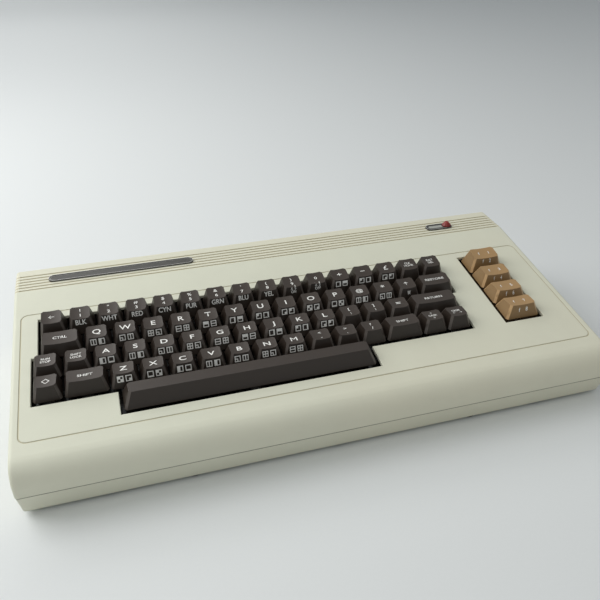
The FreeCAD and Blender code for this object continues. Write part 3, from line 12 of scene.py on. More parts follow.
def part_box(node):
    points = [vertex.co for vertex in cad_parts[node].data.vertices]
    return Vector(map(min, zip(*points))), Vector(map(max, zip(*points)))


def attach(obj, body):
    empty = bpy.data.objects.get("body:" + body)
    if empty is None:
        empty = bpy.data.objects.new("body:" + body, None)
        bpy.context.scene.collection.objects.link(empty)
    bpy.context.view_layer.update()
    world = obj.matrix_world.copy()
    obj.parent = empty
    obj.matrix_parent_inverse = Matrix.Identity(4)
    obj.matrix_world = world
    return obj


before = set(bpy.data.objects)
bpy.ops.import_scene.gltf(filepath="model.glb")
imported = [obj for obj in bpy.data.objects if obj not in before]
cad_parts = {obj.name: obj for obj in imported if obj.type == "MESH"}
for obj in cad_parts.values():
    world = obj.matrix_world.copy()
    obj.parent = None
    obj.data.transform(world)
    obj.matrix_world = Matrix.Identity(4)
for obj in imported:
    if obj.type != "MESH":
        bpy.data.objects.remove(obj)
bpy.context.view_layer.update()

bl_info = {
    "name": "Home computer looks",
    "version": (1, 0, 0),
    "blender": (4, 5, 0),
    "location": "View3D > Sidebar > Computer",
    "description": "Finishes, key lettering and small fittings for a home computer",
    "category": "Object",
}

MM = 0.001

# The keyboard deck slopes up from the nose of the case: x to the right, y up the slope, z off it
DECK = Matrix.Translation((0, -102 * MM, 39.2 * MM)) @ Matrix.Rotation(math.radians(11), 4, "X")
UP_DECK = DECK.to_3x3() @ Vector((0, 1, 0))
OFF_DECK = DECK.to_3x3() @ Vector((0, 0, 1))

# The strip behind the crease at the deck's top, with the grooves, the badge and the lamp label
STRIP_SLOPE = math.radians(3.8)
CREASE_Y = 57.0 * MM
CREASE_Z = 70.106 * MM
GROOVE_START = 1.8 * MM
GROOVE_PITCH = 4.0 * MM
PLATE_HALF_WIDTH = 4.35 * MM

# The line engraved round the keys, as a rounded rectangle on the deck
BORDER_HALF_WIDTH = 196.8 * MM
BORDER_HALF_LENGTH = 57.3 * MM
BORDER_MIDDLE = 78.2 * MM
BORDER_RADIUS = 5.5 * MM

# Where the upper and the lower shell meet
SEAM_Z = 20.0 * MM

KEY_PITCH = 19.05 * MM
FIRST_KEY_X = -184.35 * MM
FIRST_ROW_Y = 127.85 * MM

# Keys with lettering: body, row, left edge and width in key pitches, words on top, and in front
# either words or "boxes"
KEYS = [("left_arrow_key", 1, 0, 1, "←", "")]
for step, (digit, sign, word) in enumerate(zip("1234567890", "!\"#$%&'() ", (
        "BLK", "WHT", "RED", "CYN", "PUR", "GRN", "BLU", "YEL", "RVS\nON", "RVS\nOFF"))):
    KEYS.append(("number_keys", 1, 1 + step, 1, f"{sign}\n{digit}".strip(), word))
KEYS += [
    ("plus_key", 1, 11, 1, "+", "boxes"),
    ("minus_key", 1, 12, 1, "−", "boxes"),
    ("pound_key", 1, 13, 1, "£", "boxes"),
    ("home_key", 1, 14, 1, "CLR\nHOME", ""),
    ("delete_key", 1, 15, 1, "INST\nDEL", ""),
    ("ctrl_key", 2, 0, 1.5, "CTRL", ""),
    ("at_key", 2, 11.5, 1, "@", "boxes"),
    ("asterisk_key", 2, 12.5, 1, "*", "boxes"),
    ("up_arrow_key", 2, 13.5, 1, "↑", "π"),
    ("restore_key", 2, 14.5, 1.5, "RESTORE", ""),
    ("run_stop_key", 3, -0.25, 1, "RUN\nSTOP", ""),
    ("shift_lock_key", 3, 0.75, 1, "SHIFT\nLOCK", ""),
    ("colon_key", 3, 10.75, 1, "[\n:", ""),
    ("semicolon_key", 3, 11.75, 1, "]\n;", ""),
    ("equals_key", 3, 12.75, 1, "=", ""),
    ("return_key", 3, 13.75, 2, "RETURN", ""),
    ("symbol_key", 4, -0.25, 1, "diamond", ""),
    ("left_shift_key", 4, 0.75, 1.5, "SHIFT", ""),
    ("comma_key", 4, 9.25, 1, "<\n,", ""),
    ("period_key", 4, 10.25, 1, ">\n.", ""),
    ("slash_key", 4, 11.25, 1, "?\n/", ""),
    ("right_shift_key", 4, 12.25, 1.5, "SHIFT", ""),
    ("cursor_vertical_key", 4, 13.75, 1, "↑\nCRSR\n↓", ""),
    ("cursor_horizontal_key", 4, 14.75, 1, "CRSR\n←  →", ""),
    ("function_key_1", 1, 17.25, 1.5, "f   1", "f   2"),
    ("function_key_3", 2, 17.25, 1.5, "f   3", "f   4"),
    ("function_key_5", 3, 17.25, 1.5, "f   5", "f   6"),
    ("function_key_7", 4, 17.25, 1.5, "f   7", "f   8"),
]
for body, row, left, letters in (("upper_letter_keys", 2, 1.5, "QWERTYUIOP"),
                                 ("middle_letter_keys", 3, 1.75, "ASDFGHJKL"),
                                 ("lower_letter_keys", 4, 2.25, "ZXCVBNM")):
    for step, letter in enumerate(letters):
        KEYS.append((body, row, left + step, 1, letter, "boxes"))
LETTERED = sorted({key[0] for key in KEYS})

# The built-in letters: height of a capital at size 1, signs whose outlines break when thickened,
# and signs that are printed smaller than a letter
CAPITAL_HEIGHT = 0.69
NEVER_BOLD = set("M4←↑→↓π")
SMALL_SIGNS = {"←": 0.75, "↑": 0.75, "@": 0.78}

# Distance between lines in letter heights, shift of the words up a key's top, and where a mark
# starts before it is pressed onto a top or a front
LINE_PITCH = 1.45
FRONT_LINE_PITCH = 1.3
TOP_SHIFT = 0.6 * MM
ABOVE_TOP = 20 * MM
BEFORE_FRONT = 10.5 * MM

# Words on the fronts are narrower and bolder, and in two lines also lower
FRONT_STRETCH = 0.88
FRONT_BOLD = 1.6
FRONT_LINES_SHARE = 0.58

# Outline of the small boxes, and the pictures in them as filled bars (x0, y0, x1, y1), all of a
# square from -0.5 to 0.5
BOX_LINE = 0.14
BOX_PICTURES = (
    ((-0.5, -0.5, 0.0, 0.5),),
    ((-0.5, -0.08, 0.5, 0.08),),
    ((0.0, -0.5, 0.5, 0.0),),
    ((-0.08, -0.5, 0.08, 0.5),),
    ((-0.5, 0.0, 0.5, 0.5),),
    ((-0.5, 0.0, 0.0, 0.5), (0.0, -0.5, 0.5, 0.0)),
    ((-0.5, -0.08, 0.08, 0.08), (-0.08, -0.5, 0.08, 0.08)),
    ((0.25, -0.5, 0.5, 0.5),),
    ((-0.5, -0.5, 0.5, -0.25),),
    ((-0.08, -0.5, 0.08, 0.5), (-0.5, -0.08, 0.5, 0.08)),
    ((-0.5, 0.0, 0.0, 0.5),),
)

# Turns what is modelled lying flat so that it stands up, faces the rear or faces the right side
UPRIGHT = Matrix.Rotation(math.radians(90), 4, "X")
FACING = {"rear": Matrix.Rotation(math.radians(-90), 4, "X"),
          "side": Matrix.Rotation(math.radians(90), 4, "Y")}

# Round sockets: name, middle of the mouth, way it faces, and the angle and reach of each contact
CONTACT_RING = 4.3 * MM
ROUND_SOCKETS = (
    ("video", (45 * MM, 96 * MM, 21.3 * MM), "rear",
     [(angle, CONTACT_RING) for angle in (180, 225, 270, 315, 360)]),
    ("serial", (15 * MM, 96 * MM, 21.3 * MM), "rear",
     [(angle, CONTACT_RING) for angle in (150, 210, 270, 330, 390)] + [(0, 0)]),
    ("power", (196 * MM, 58 * MM, 21.3 * MM), "side",
     [(angle, CONTACT_RING) for angle in range(135, 406, 45)]),
)
INSERT_DEPTH = 2.0 * MM
SLEEVE_DEPTH = 2.5 * MM

# Outlines of the turned parts, as (radius, height) in millimetres
SHIELD_OUTLINE = ((6.95, -8.8), (6.95, -0.2), (6.75, 0.0), (6.55, -0.2), (6.55, -8.8))
SLEEVE_OUTLINE = ((0.50, -3.0), (0.50, -0.1), (0.60, 0.0), (0.80, -0.1), (0.80, -3.0))
PIN_OUTLINE = ((0, -0.4), (0.5, -0.4), (0.5, 6.2), (0.3, 6.7), (0, 6.8))

# Control ports: where their pins stand, and the height and count of each row of pins
PORT_PINS_X = 192.6 * MM
PORTS_Y = (-50 * MM, -14 * MM)
PORTS_Z = 18.9 * MM
PIN_PITCH = 2.77 * MM
PIN_ROWS = ((1.42 * MM, 5), (-1.42 * MM, 4))

# Cartridge slot: its middle, its springs' count and places, and the size of one
SLOT_X = 115 * MM
SLOT_Y = 92.3 * MM
SLOT_Z = 19.3 * MM
SPRING_COUNT = 22
SPRING_PITCH = 2.54 * MM
SPRING_RISE = 1.0 * MM
SPRING_WIDTH = 1.3 * MM
SPRING_LENGTH = 6.6 * MM
SPRING_BOW = 0.55 * MM
SPRING_LIFT = 0.02 * MM
SPRING_WALL = 0.2 * MM

# Edge connectors: piece, middle and count of the fingers; then the fingers' size and places
EDGES = (("user_port_fingers", -125 * MM, 12), ("cassette_port_fingers", -40 * MM, 6))
FINGER_SIZE = (2.3 * MM, 7.0 * MM, 0.07 * MM)
FINGER_CORNER = 0.35 * MM
FINGER_PITCH = 3.96 * MM
FINGER_Y = 95.2 * MM
FINGER_LEVELS = (10.98 * MM, 12.62 * MM)

# Height of the marks on the power rocker
ROCKER_MARK = 3.4 * MM

# Spacing of what repeats inside: holes of the board, wires of the flat cable, capacitors
HOLE_PITCH = 2.54 * MM
WIRE_PITCH = 1.27 * MM
CAN_PITCH = 14 * MM

# The floor and backdrop: flat from the near end to the bend, then a quarter turn up
SWEEP_HALF_WIDTH = 4
SWEEP_NEAR_Y = -3
SWEEP_BEND_Y = 2.4
SWEEP_RADIUS = 1.2

# Lamps: name, place, point aimed at, side, share of the softbox's power, colour
LAMPS = (
    ("softbox", (-0.90, 0.40, 0.92), (0, 0, 0), 1.0, 1.0, (1.0, 0.99, 0.97)),
    ("fill", (-0.2, -0.9, 1.6), (0, 0, 0), 1.2, 0.44, (1.0, 0.975, 0.90)),
    ("backdrop_lamp", (-0.7, 1.9, 1.3), (-0.7, 1.9001, 0), 1.2, 0.9, (1.0, 0.99, 0.97)),
)
DAYLIGHT = (0.93, 0.975, 1.0)

# How the camera is turned
CAMERA_TURN = Matrix(((0.957838, 0.148966, -0.245675), (-0.287262, 0.480951, -0.828352),
                      (-0.005239, 0.864000, 0.503465)))


# What the settings of one kind have in common
COLOUR = {"subtype": "COLOR", "size": 3, "min": 0, "max": 1}
LENGTH = {"subtype": "DISTANCE", "unit": "LENGTH"}


class CaseFinish(bpy.types.PropertyGroup):
    """Colours and grain of the case mouldings."""

    plastic: FloatVectorProperty(
        name="Plastic", description="Colour of the case plastic", default=(0.685, 0.695, 0.575),
        **COLOUR)
    aged: FloatVectorProperty(
        name="Aged plastic", description="Colour where the plastic has yellowed",
        default=(0.70, 0.665, 0.525), **COLOUR)
    # This colour stands for dust and painted shade in the grooves; it also darkens the border line,
    # and darkened further it is the painted seam shadow.
    grime_and_shade: FloatVectorProperty(
        name="Groove grime", description="Colour of the dust held in the grooves",
        default=(0.46, 0.40, 0.235), **COLOUR)
    grain: FloatProperty(
        name="Grain size", description="Width of one pit of the moulded grain", min=0.0001,
        max=0.002, default=0.0004, **LENGTH)


class KeyFinish(bpy.types.PropertyGroup):
    """Colours of the key caps and their lettering."""

    dark: FloatVectorProperty(
        name="Dark caps", description="Colour of the typing keys", default=(0.037, 0.026, 0.019),
        **COLOUR)
    tan: FloatVectorProperty(
        name="Tan caps", description="Colour of the function keys", default=(0.375, 0.230, 0.100),
        **COLOUR)
    lettering: FloatVectorProperty(
        name="Lettering", description="Colour of the words on the keys", default=(0.90, 0.90, 0.87),
        **COLOUR)


class LetteringSizes(bpy.types.PropertyGroup):
    """Heights of the words on the keys."""

    letter: FloatProperty(
        name="Single letter", description="Height of a capital alone on a key", min=0.001, max=0.01,
        default=0.0042, **LENGTH)
    pair: FloatProperty(
        name="Stacked signs", description="Height of two signs one over the other", min=0.001,
        max=0.01, default=0.0026, **LENGTH)
    pair_pitch: FloatProperty(
        name="Stacked pitch", description="Distance between two stacked signs", min=0.001, max=0.01,
        default=0.0046, **LENGTH)
    word: FloatProperty(
        name="Words", description="Height of a word such as SHIFT", min=0.001, max=0.01,
        default=0.0022, **LENGTH)
    line: FloatProperty(
        name="Word lines", description="Height of words in two or three lines", min=0.001, max=0.01,
        default=0.0019, **LENGTH)
    function: FloatProperty(
        name="Function signs", description="Height of the signs of the function keys", min=0.001,
        max=0.01, default=0.0028, **LENGTH)
    front: FloatProperty(
        name="Front words", description="Height of a word on a front face", min=0.001, max=0.01,
        default=0.0034, **LENGTH)
    front_rise: FloatProperty(
        name="Front rise", description="Middle of the top row's front words above the deck",
        min=0.001, max=0.02, default=0.0067, **LENGTH)
    box: FloatProperty(
        name="Box", description="Side of a picture box on a front face", min=0.001, max=0.01,
        default=0.0040, **LENGTH)
    box_rise: FloatProperty(
        name="Box rise", description="Middle of the picture boxes above the deck", min=0.001,
        max=0.02, default=0.0042, **LENGTH)
    stretch: FloatProperty(
        name="Stretch", description="Widening of the letters", min=0.8, max=2, default=1.2)
    bold: FloatProperty(
        name="Boldness", description="Thickening of the letters", min=0, max=0.02, default=0.011)
    film: FloatProperty(
        name="Film", description="Stand-off of the lettering from the cap", min=0.00001, max=0.0002,
        default=0.00003, **LENGTH)


class StageSettings(bpy.types.PropertyGroup):
    """Floor, camera and lamps."""

    floor: FloatVectorProperty(
        name="Floor", description="Colour of the floor and backdrop", default=(0.735, 0.76, 0.765),
        **COLOUR)
    camera_place: FloatVectorProperty(
        name="Camera", description="Place of the camera", subtype="TRANSLATION", unit="LENGTH",
        size=3, default=(-0.121060, -0.406674, 0.308895))
    lens: FloatProperty(
        name="Lens", description="Focal length of the camera in millimetres", min=10, max=200,
        default=39.704)
    daylight: FloatProperty(
        name="Daylight", description="Strength of the even light all round", min=0, max=3,
        default=0.32)
    backdrop: FloatProperty(
        name="Backdrop", description="Strength of the light that is seen past the floor", min=0,
        max=1, default=0.58)
    softbox: FloatProperty(
        name="Softbox", description="Power of the large lamp in watts", min=0, max=500,
        default=12.5)


class Socket:
    """A socket of a shader tree whose maths is written as Python expressions."""

    def __init__(self, tree, socket):
        self.tree = tree
        self.socket = socket

    def maths(self, operation, *values):
        """The result of a Math node."""
        return self.tree.add("Math", {"operation": operation}, dict(enumerate(values)))

    def __add__(self, other):
        return self.maths("ADD", self, other)

    __radd__ = __add__

    def __sub__(self, other):
        return self.maths("SUBTRACT", self, other)

    def __rsub__(self, other):
        return self.maths("SUBTRACT", other, self)

    def __mul__(self, other):
        return self.maths("MULTIPLY", self, other)

    __rmul__ = __mul__

    def __truediv__(self, other):
        return self.maths("DIVIDE", self, other)

    def __rtruediv__(self, other):
        return self.maths("DIVIDE", other, self)

    def __abs__(self):
        return self.maths("ABSOLUTE", self)

    def at_least(self, other):
        return self.maths("MAXIMUM", self, other)

    def at_most(self, other):
        return self.maths("MINIMUM", self, other)

    def root(self):
        return self.maths("SQRT", self)

    def folded(self, top):
        """Up from 0 to the top and down again, over and over."""
        return self.maths("PINGPONG", self, top)

    def between(self, none, full):
        """A mask: 0 at none and beyond it, 1 at full and beyond it, smooth in between."""
        return self.tree.add("MapRange", {"interpolation_type": "SMOOTHSTEP"},
                             {"Value": self, "From Min": none, "From Max": full})

    def inside(self, start, end, soft):
        """A mask: 1 from start to end, with edges that are soft that far to both sides."""
        return self.between(start - soft, start + soft) * self.between(end + soft, end - soft)


class Finish:
    """A material and its shader tree."""

    def __init__(self, name, **constants):
        self.material = bpy.data.materials.new(name)
        self.material.use_nodes = True
        self.nodes = self.material.node_tree.nodes
        self.nodes.clear()
        self.shader = self.nodes.new("ShaderNodeBsdfPrincipled")
        output = self.nodes.new("ShaderNodeOutputMaterial")
        self.material.node_tree.links.new(self.shader.outputs["BSDF"], output.inputs["Surface"])
        self.place = self.add("TexCoord", {}, {}, "Object")
        for constant, value in constants.items():
            socket = constant.replace("_", " ").title().replace("Ior", "IOR")
            self.shader.inputs[socket].default_value = value

    def add(self, kind, settings, inputs, output=0):
        """Add one node: its settings first, then the values or links of its sockets."""
        node = self.nodes.new("ShaderNode" + kind)
        for name, value in settings.items():
            setattr(node, name, value)
        for name, value in inputs.items():
            self.join(node.inputs[name], value)
        return Socket(self, node.outputs[output])

    def join(self, socket, value):
        """Give a socket a link or a plain value."""
        if isinstance(value, Socket):
            self.material.node_tree.links.new(value.socket, socket)
        elif hasattr(value, "__len__") and len(socket.default_value) == 4:
            socket.default_value = (*value[:3], 1)
        else:
            socket.default_value = value

    def noise(self, size, detail=2.0, roughness=0.5, place=None):
        """A noise whose marks are about that wide, in metres."""
        return self.add("TexNoise", {}, {"Vector": place or self.place, "Scale": 1 / size,
                                         "Detail": detail, "Roughness": roughness})

    def stretched(self, x=1.0, y=1.0, z=1.0):
        """The place on the object, scaled; marks are drawn out along an axis scaled below 1."""
        return self.add("Mapping", {}, {"Vector": self.place, "Scale": (x, y, z)})

    def along(self, axis):
        """The place along one axis in metres."""
        return self.add("SeparateXYZ", {}, {"Vector": self.place}, "XYZ".index(axis))

    def dot(self, vector, way):
        """How far a vector reaches along a way."""
        return self.add("VectorMath", {"operation": "DOT_PRODUCT"}, {0: vector, 1: way}, "Value")

    def towards(self, way, start):
        """How far the place lies from a start along a way, in metres."""
        return self.dot(self.place, way) - start.dot(way)

    def mix(self, factor, first, second):
        """A colour between two."""
        return self.add("Mix", {"data_type": "RGBA"}, {0: factor, 6: first, 7: second}, 2)

    def shade(self, colour, factor):
        """A colour times a number."""
        return self.add("VectorMath", {"operation": "SCALE"}, {0: colour, "Scale": factor})

    def rounded(self, radius):
        """The normal as if sharp corners had that radius."""
        return self.add("Bevel", {"samples": 4}, {"Radius": radius})

    def finish(self, colour, roughness, height, depth, edge=0.0, metallic=None):
        """Feed the shader; height is bumped by its depth, and edge rounds sharp corners off."""
        self.join(self.shader.inputs["Base Color"], colour)
        self.join(self.shader.inputs["Roughness"], roughness)
        if metallic is not None:
            self.join(self.shader.inputs["Metallic"], metallic)
        inputs = {"Height": height, "Distance": depth, "Strength": 1.0}
        if edge:
            inputs["Normal"] = self.rounded(edge)
        self.join(self.shader.inputs["Normal"], self.add("Bump", {}, inputs))
        return self.material


class Daylight(Finish):
    """The world and its shader tree."""

    def __init__(self, name):
        self.material = bpy.data.worlds.new(name)
        self.material.use_nodes = True
        self.nodes = self.material.node_tree.nodes


def dress(material, *names):
    """Give CAD nodes one finish."""
    for name in names:
        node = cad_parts[name]
        node.data.materials.clear()
        node.data.materials.append(material)


def reach(x, y):
    """How far a point lies out, from how far it lies both ways."""
    return (x * x + y * y).root()


def groove_dust_and_shade(strip, z):
    """Dust and painted shade in the strip's grooves, from how far behind the crease and how high a
    place is.
    """
    sunk = CREASE_Z + strip * math.tan(STRIP_SLOPE) - z
    step = (strip + (GROOVE_PITCH / 2 - GROOVE_START)).folded(GROOVE_PITCH / 2)
    return (GROOVE_PITCH / 2 - step).between(0.75 * MM, 0.55 * MM) * \
        strip.between(0.8 * MM, 1.0 * MM) * strip.between(22.6 * MM, 22.4 * MM) * \
        sunk.between(1.2 * MM, 1.0 * MM) * abs(sunk).between(1.6 * MM, 1.0 * MM)


def darker_border_line(cream, x):
    """A darker colour painted in the line engraved round the keys."""
    up_deck = cream.towards(UP_DECK, DECK.translation)
    off_deck = cream.towards(OFF_DECK, DECK.translation)
    out_x = (abs(x) - (BORDER_HALF_WIDTH - BORDER_RADIUS)).at_least(0)
    out_y = (abs(up_deck - BORDER_MIDDLE) - (BORDER_HALF_LENGTH - BORDER_RADIUS)).at_least(0)
    line = BORDER_RADIUS - reach(out_x, out_y)
    return line.inside(0.025 * MM, 0.775 * MM, 0.075 * MM) * \
        off_deck.between(-1.2 * MM, -0.8 * MM)


def seam_shadow(z):
    """The dark line where the shells meet."""
    return z.between(SEAM_Z - 0.80 * MM, SEAM_Z - 0.68 * MM) * \
        z.between(SEAM_Z + 0.16 * MM, SEAM_Z + 0.08 * MM)


def case_plastic(case):
    """Cream moulded plastic with a fine spark grain, aged unevenly, with dust and painted shade in
    its grooves, a darker line painted in the border and a painted shadow along the seam.
    """
    cream = Finish("case_plastic")
    x, y, z = (cream.along(axis) for axis in "XYZ")
    strip = y - CREASE_Y
    age = cream.noise(0.16, 3).between(0.42, 0.72) * 0.35 + x.between(-0.05, 0.20) * 0.12 + \
        strip.between(0, 0.002) * 0.4 + z.between(0.045, 0.030) * 0.4
    mottle = cream.noise(0.018, 4, 0.6)
    tint = cream.shade(cream.mix(age, case.plastic, case.aged), 0.965 + mottle * 0.07)
    # Groove lines: dust and painted shade.
    tint = cream.mix(groove_dust_and_shade(strip, z) * 0.85, tint, case.grime_and_shade)
    tint = cream.mix(darker_border_line(cream, x) * 0.7, tint, case.grime_and_shade)
    tint = cream.mix(seam_shadow(z) * 0.9, tint, [share * 0.22 for share in case.grime_and_shade])
    scuffs = cream.noise(0.006, 6, 0.7, cream.stretched(y=0.25)).between(0.60, 0.75)
    roughness = 0.50 + cream.noise(0.03, 3) * 0.10 - scuffs * 0.06
    grain = cream.noise(case.grain, 2, 0.6) + cream.noise(case.grain * 3.1, 2) * 0.6
    return cream.finish(tint, roughness, grain, 0.000035, 0.0005)


def key_plastic(name, colour, rims=True):
    """Cap plastic: fine grain, duller tops, painted shade on every face that does not face up, and
    paler rounded edges from wear and a painted highlight.
    """
    cap = Finish(name, specular_ior_level=0.45)
    cloud = cap.noise(0.012, 4, 0.6)
    facing = cap.add("NewGeometry", {}, {}, "Normal")
    off_deck, right, up_deck = (0, -0.19, 0.98), (1, 0, 0), (0, 0.98, 0.19)
    up, side, front = (cap.dot(facing, way) for way in (off_deck, right, up_deck))
    # Paler along the rounded edges and top rims: handling wear and a painted highlight.
    wear_and_highlight = (abs(side) * abs(front)).between(0.16, 0.30)
    if rims:
        wear_and_highlight = (up.between(0.40, 0.60) * up.between(0.965, 0.90)).at_least(wear_and_highlight)
    wear_and_highlight = wear_and_highlight * cap.noise(0.007, 3).between(0.25, 0.55)
    # Painted shade: every face that does not face up is darkened to two thirds.
    tint = cap.shade(colour, (0.90 + cloud * 0.2) * (0.66 + up.between(0.3, 0.8) * 0.34))
    tint = cap.mix(wear_and_highlight * 0.75, tint, [min(1, value * 1.5 + 0.05) for value in colour])
    top = up.between(0.88, 0.97)
    roughness = 0.37 + cloud * 0.10 + top * 0.06 - wear_and_highlight * 0.10
    grain = cap.noise(0.00032, 2, 0.6)
    return cap.finish(tint, roughness, grain * (0.35 + top), 0.000022, 0.00015)


def lettering_ink(keys, name="lettering"):
    """Pale plastic of the letters, slightly greyed by handling."""
    ink = Finish(name)
    tone = ink.noise(0.004, 3).between(0.35, 0.75)
    tint = ink.mix(tone * 0.25, keys.lettering, (0.60, 0.59, 0.54))
    return ink.finish(tint, 0.45 + tone * 0.1, ink.noise(0.0004, 2), 0.00001)


def black_moulding(name, base, low, high, right=None, turns_at=(0, 0)):
    """Black plastic with a faint sheen and a little dust; its right end may be another colour."""
    black = Finish(name)
    if right:
        base = black.mix(black.along("X").between(*turns_at), base, right)
    dust = black.noise(0.005, 5, 0.65).between(0.52, 0.75)
    tint = black.mix(dust * 0.25, base, (0.12, 0.115, 0.105))
    roughness = low + dust * (high - low)
    return black.finish(tint, roughness, black.noise(0.0004, 3), 0.00002, 0.0003)


def bright_metal(name, colour, size, low, high, grain=(1, 1, 1), metallic=1.0):
    """Bare metal with fine lines along one way and a few dull spots."""
    metal = Finish(name, metallic=metallic)
    lines = metal.noise(size, 3, 0.6, metal.stretched(*grain))
    dull = metal.noise(0.004, 4, 0.6).between(0.5, 0.75)
    tint = metal.mix(dull * 0.5, colour, [value * 0.72 for value in colour])
    roughness = low + (high - low) * (lines * 0.6 + dull * 0.4)
    return metal.finish(metal.shade(tint, 0.9 + lines * 0.2), roughness, lines, 0.00001)


def board_lacquer():
    """Green lacquer over copper runs, with rows of tinned pads."""
    board = Finish("board_lacquer", specular_ior_level=0.6)
    x, y = (board.along(axis) / HOLE_PITCH for axis in "XY")
    blank = board.noise(0.011, 1, 0.4).between(0.5, 0.54)
    runs = [(0.25 - place.folded(0.5)).between(-0.05, 0.05) * share
            for place, share in ((x, blank), (y, 1 - blank))]
    track = runs[0].at_most(1).at_least(runs[1]) * board.noise(0.02, 2).between(0.40, 0.44)
    pad = reach((x + 0.5).folded(0.5), (y + 0.5).folded(0.5)).between(0.34, 0.28) * \
        board.noise(0.014, 1).between(0.56, 0.58)
    tint = board.mix(track * 0.75, (0.012, 0.085, 0.03), (0.035, 0.17, 0.06))
    tint = board.mix(pad, tint, (0.55, 0.54, 0.50))
    roughness = 0.30 + board.noise(0.004, 3) * 0.15 + pad * 0.1
    return board.finish(tint, roughness, track * 0.5 + pad, 0.00004)


def chip_epoxy():
    """Moulded black packages, matt with a little glitter of filler."""
    chip = Finish("chip_epoxy")
    speck = chip.noise(0.0003, 2, 0.7)
    tint = chip.mix(speck.between(0.55, 0.8) * 0.3, (0.022, 0.022, 0.025), (0.09, 0.09, 0.09))
    return chip.finish(tint, 0.48 + speck * 0.15, speck, 0.00003, 0.0003)


def capacitor_sleeve():
    """Blue shrink sleeve with a pale stripe down one side and a bare aluminium top."""
    can = Finish("capacitor_sleeve")
    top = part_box("capacitors")[1].z
    bare = (can.along("Z") - (top - 0.9 * MM)).between(0.0, 0.2 * MM)
    stripe = (can.along("Y") / CAN_PITCH).folded(0.5).between(0.08, 0.06) * 0.8
    tint = can.mix(stripe, (0.015, 0.035, 0.16), (0.45, 0.48, 0.52))
    tint = can.mix(bare, tint, (0.72, 0.72, 0.73))
    roughness = 0.26 + can.noise(0.003, 3) * 0.12 + bare * 0.1
    return can.finish(tint, roughness, can.noise(0.001, 3), 0.00003, 0.0004, bare)


def flat_cable():
    """Grey ribbon raised over each wire, with painted shade between the wires, red along its left
    edge.
    """
    cable = Finish("flat_cable")
    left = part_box("keyboard_cable")[0].x
    x = cable.along("X")
    ridge_and_shade = (x / WIRE_PITCH).folded(0.5) * 2
    first = (x - (left + 3.5 * MM)).between(0.6 * MM, 0.0)
    # Painted shade: darker between the wires, paler on their raised tops.
    tint = cable.mix(ridge_and_shade.between(0.1, 0.5), (0.26, 0.27, 0.28), (0.48, 0.49, 0.50))
    tint = cable.mix(first, tint, (0.45, 0.03, 0.02))
    return cable.finish(tint, 0.42 + cable.noise(0.004, 3) * 0.15, ridge_and_shade, 0.0002)


def rubber():
    """Dark rubber feet, dull and lightly dusty."""
    foot = Finish("rubber")
    dust = foot.noise(0.003, 5, 0.7).between(0.45, 0.7)
    tint = foot.mix(dust * 0.4, (0.022, 0.022, 0.023), (0.13, 0.125, 0.11))
    return foot.finish(tint, 0.72 + dust * 0.15, foot.noise(0.0005, 3), 0.00005, 0.0005)


def trim_plate(name, node, face, band, band_from, band_to):
    """A long plate with round ends: bright rim, dark face, and a band along its outline."""
    plate = Finish(name)
    low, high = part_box(node)
    half_length = (high.x - low.x) / 2 - PLATE_HALF_WIDTH
    x = (abs(plate.along("X") - (low.x + high.x) / 2) - half_length).at_least(0)
    y = (plate.along("Y") - (low.y + high.y) / 2) / math.cos(STRIP_SLOPE)
    out = reach(x, y)
    rim = out.inside(PLATE_HALF_WIDTH - 0.37 * MM, PLATE_HALF_WIDTH - 0.06 * MM, 0.03 * MM)
    lines = plate.noise(0.0006, 3, 0.6, plate.stretched(x=0.03))
    tint = plate.mix(out.inside(band_from, band_to, 0.06 * MM), face, band)
    tint = plate.mix(rim, tint, (0.62, 0.62, 0.60))
    tint = plate.shade(tint, 0.92 + lines * 0.16)
    roughness = 0.36 + plate.noise(0.008, 4, 0.6) * 0.14 + lines * 0.06
    return plate.finish(tint, roughness, lines, 0.000006, 0.0003, rim * 0.4)


def clear_lamp():
    """Unlit dark red lens with a polished skin, with painted light making it paler towards its top.
    """
    lens = Finish("lamp_lens", specular_ior_level=0.35)
    swirl = lens.noise(0.003, 3)
    # Painted light: paler towards the top of the lens, as if lit from above.
    up = lens.along("Z").between(0.0705, 0.0751)
    tint = lens.mix(up, (0.09, 0.006, 0.006), (0.25, 0.020, 0.016))
    tint = lens.shade(tint, 0.85 + swirl * 0.3)
    return lens.finish(tint, 0.30 + swirl * 0.08, swirl, 0.00003, 0.0003)


def studio_paper(colour):
    """Matt paper of the floor and backdrop, with a faint fibre."""
    paper = Finish("studio_paper")
    fibre = paper.noise(0.002, 4, 0.6)
    tint = paper.shade(colour, 0.985 + fibre * 0.03)
    return paper.finish(tint, 0.75 + fibre * 0.1, fibre, 0.00003)


def daylight(strength, backdrop):
    """Even light all round, with another strength where it is seen past the floor."""
    sky = Daylight("daylight")
    background = sky.nodes["Background"]
    background.inputs["Color"].default_value = (*DAYLIGHT, 1)
    seen = sum(sky.add("LightPath", {}, {}, f"Is {kind} Ray")
               for kind in ("Camera", "Glossy", "Transmission"))
    sky.join(background.inputs["Strength"], strength + seen.at_most(1) * (backdrop - strength))
    return sky.material


class COMPUTER_OT_dress_case(bpy.types.Operator):
    """Give the case mouldings, feet and screws their finishes"""

    bl_idname = "computer.dress_case"
    bl_label = "Dress the case"

    def execute(self, context):
        dress(case_plastic(context.scene.computer_case), "top_case", "bottom_case")
        dress(rubber(), "case_feet")
        zinc = bright_metal("zinc_screws", (0.62, 0.62, 0.60), 0.0008, 0.26, 0.46)
        dress(zinc, "case_screws", "board_screws", "keyboard_screws")
        return {"FINISHED"}


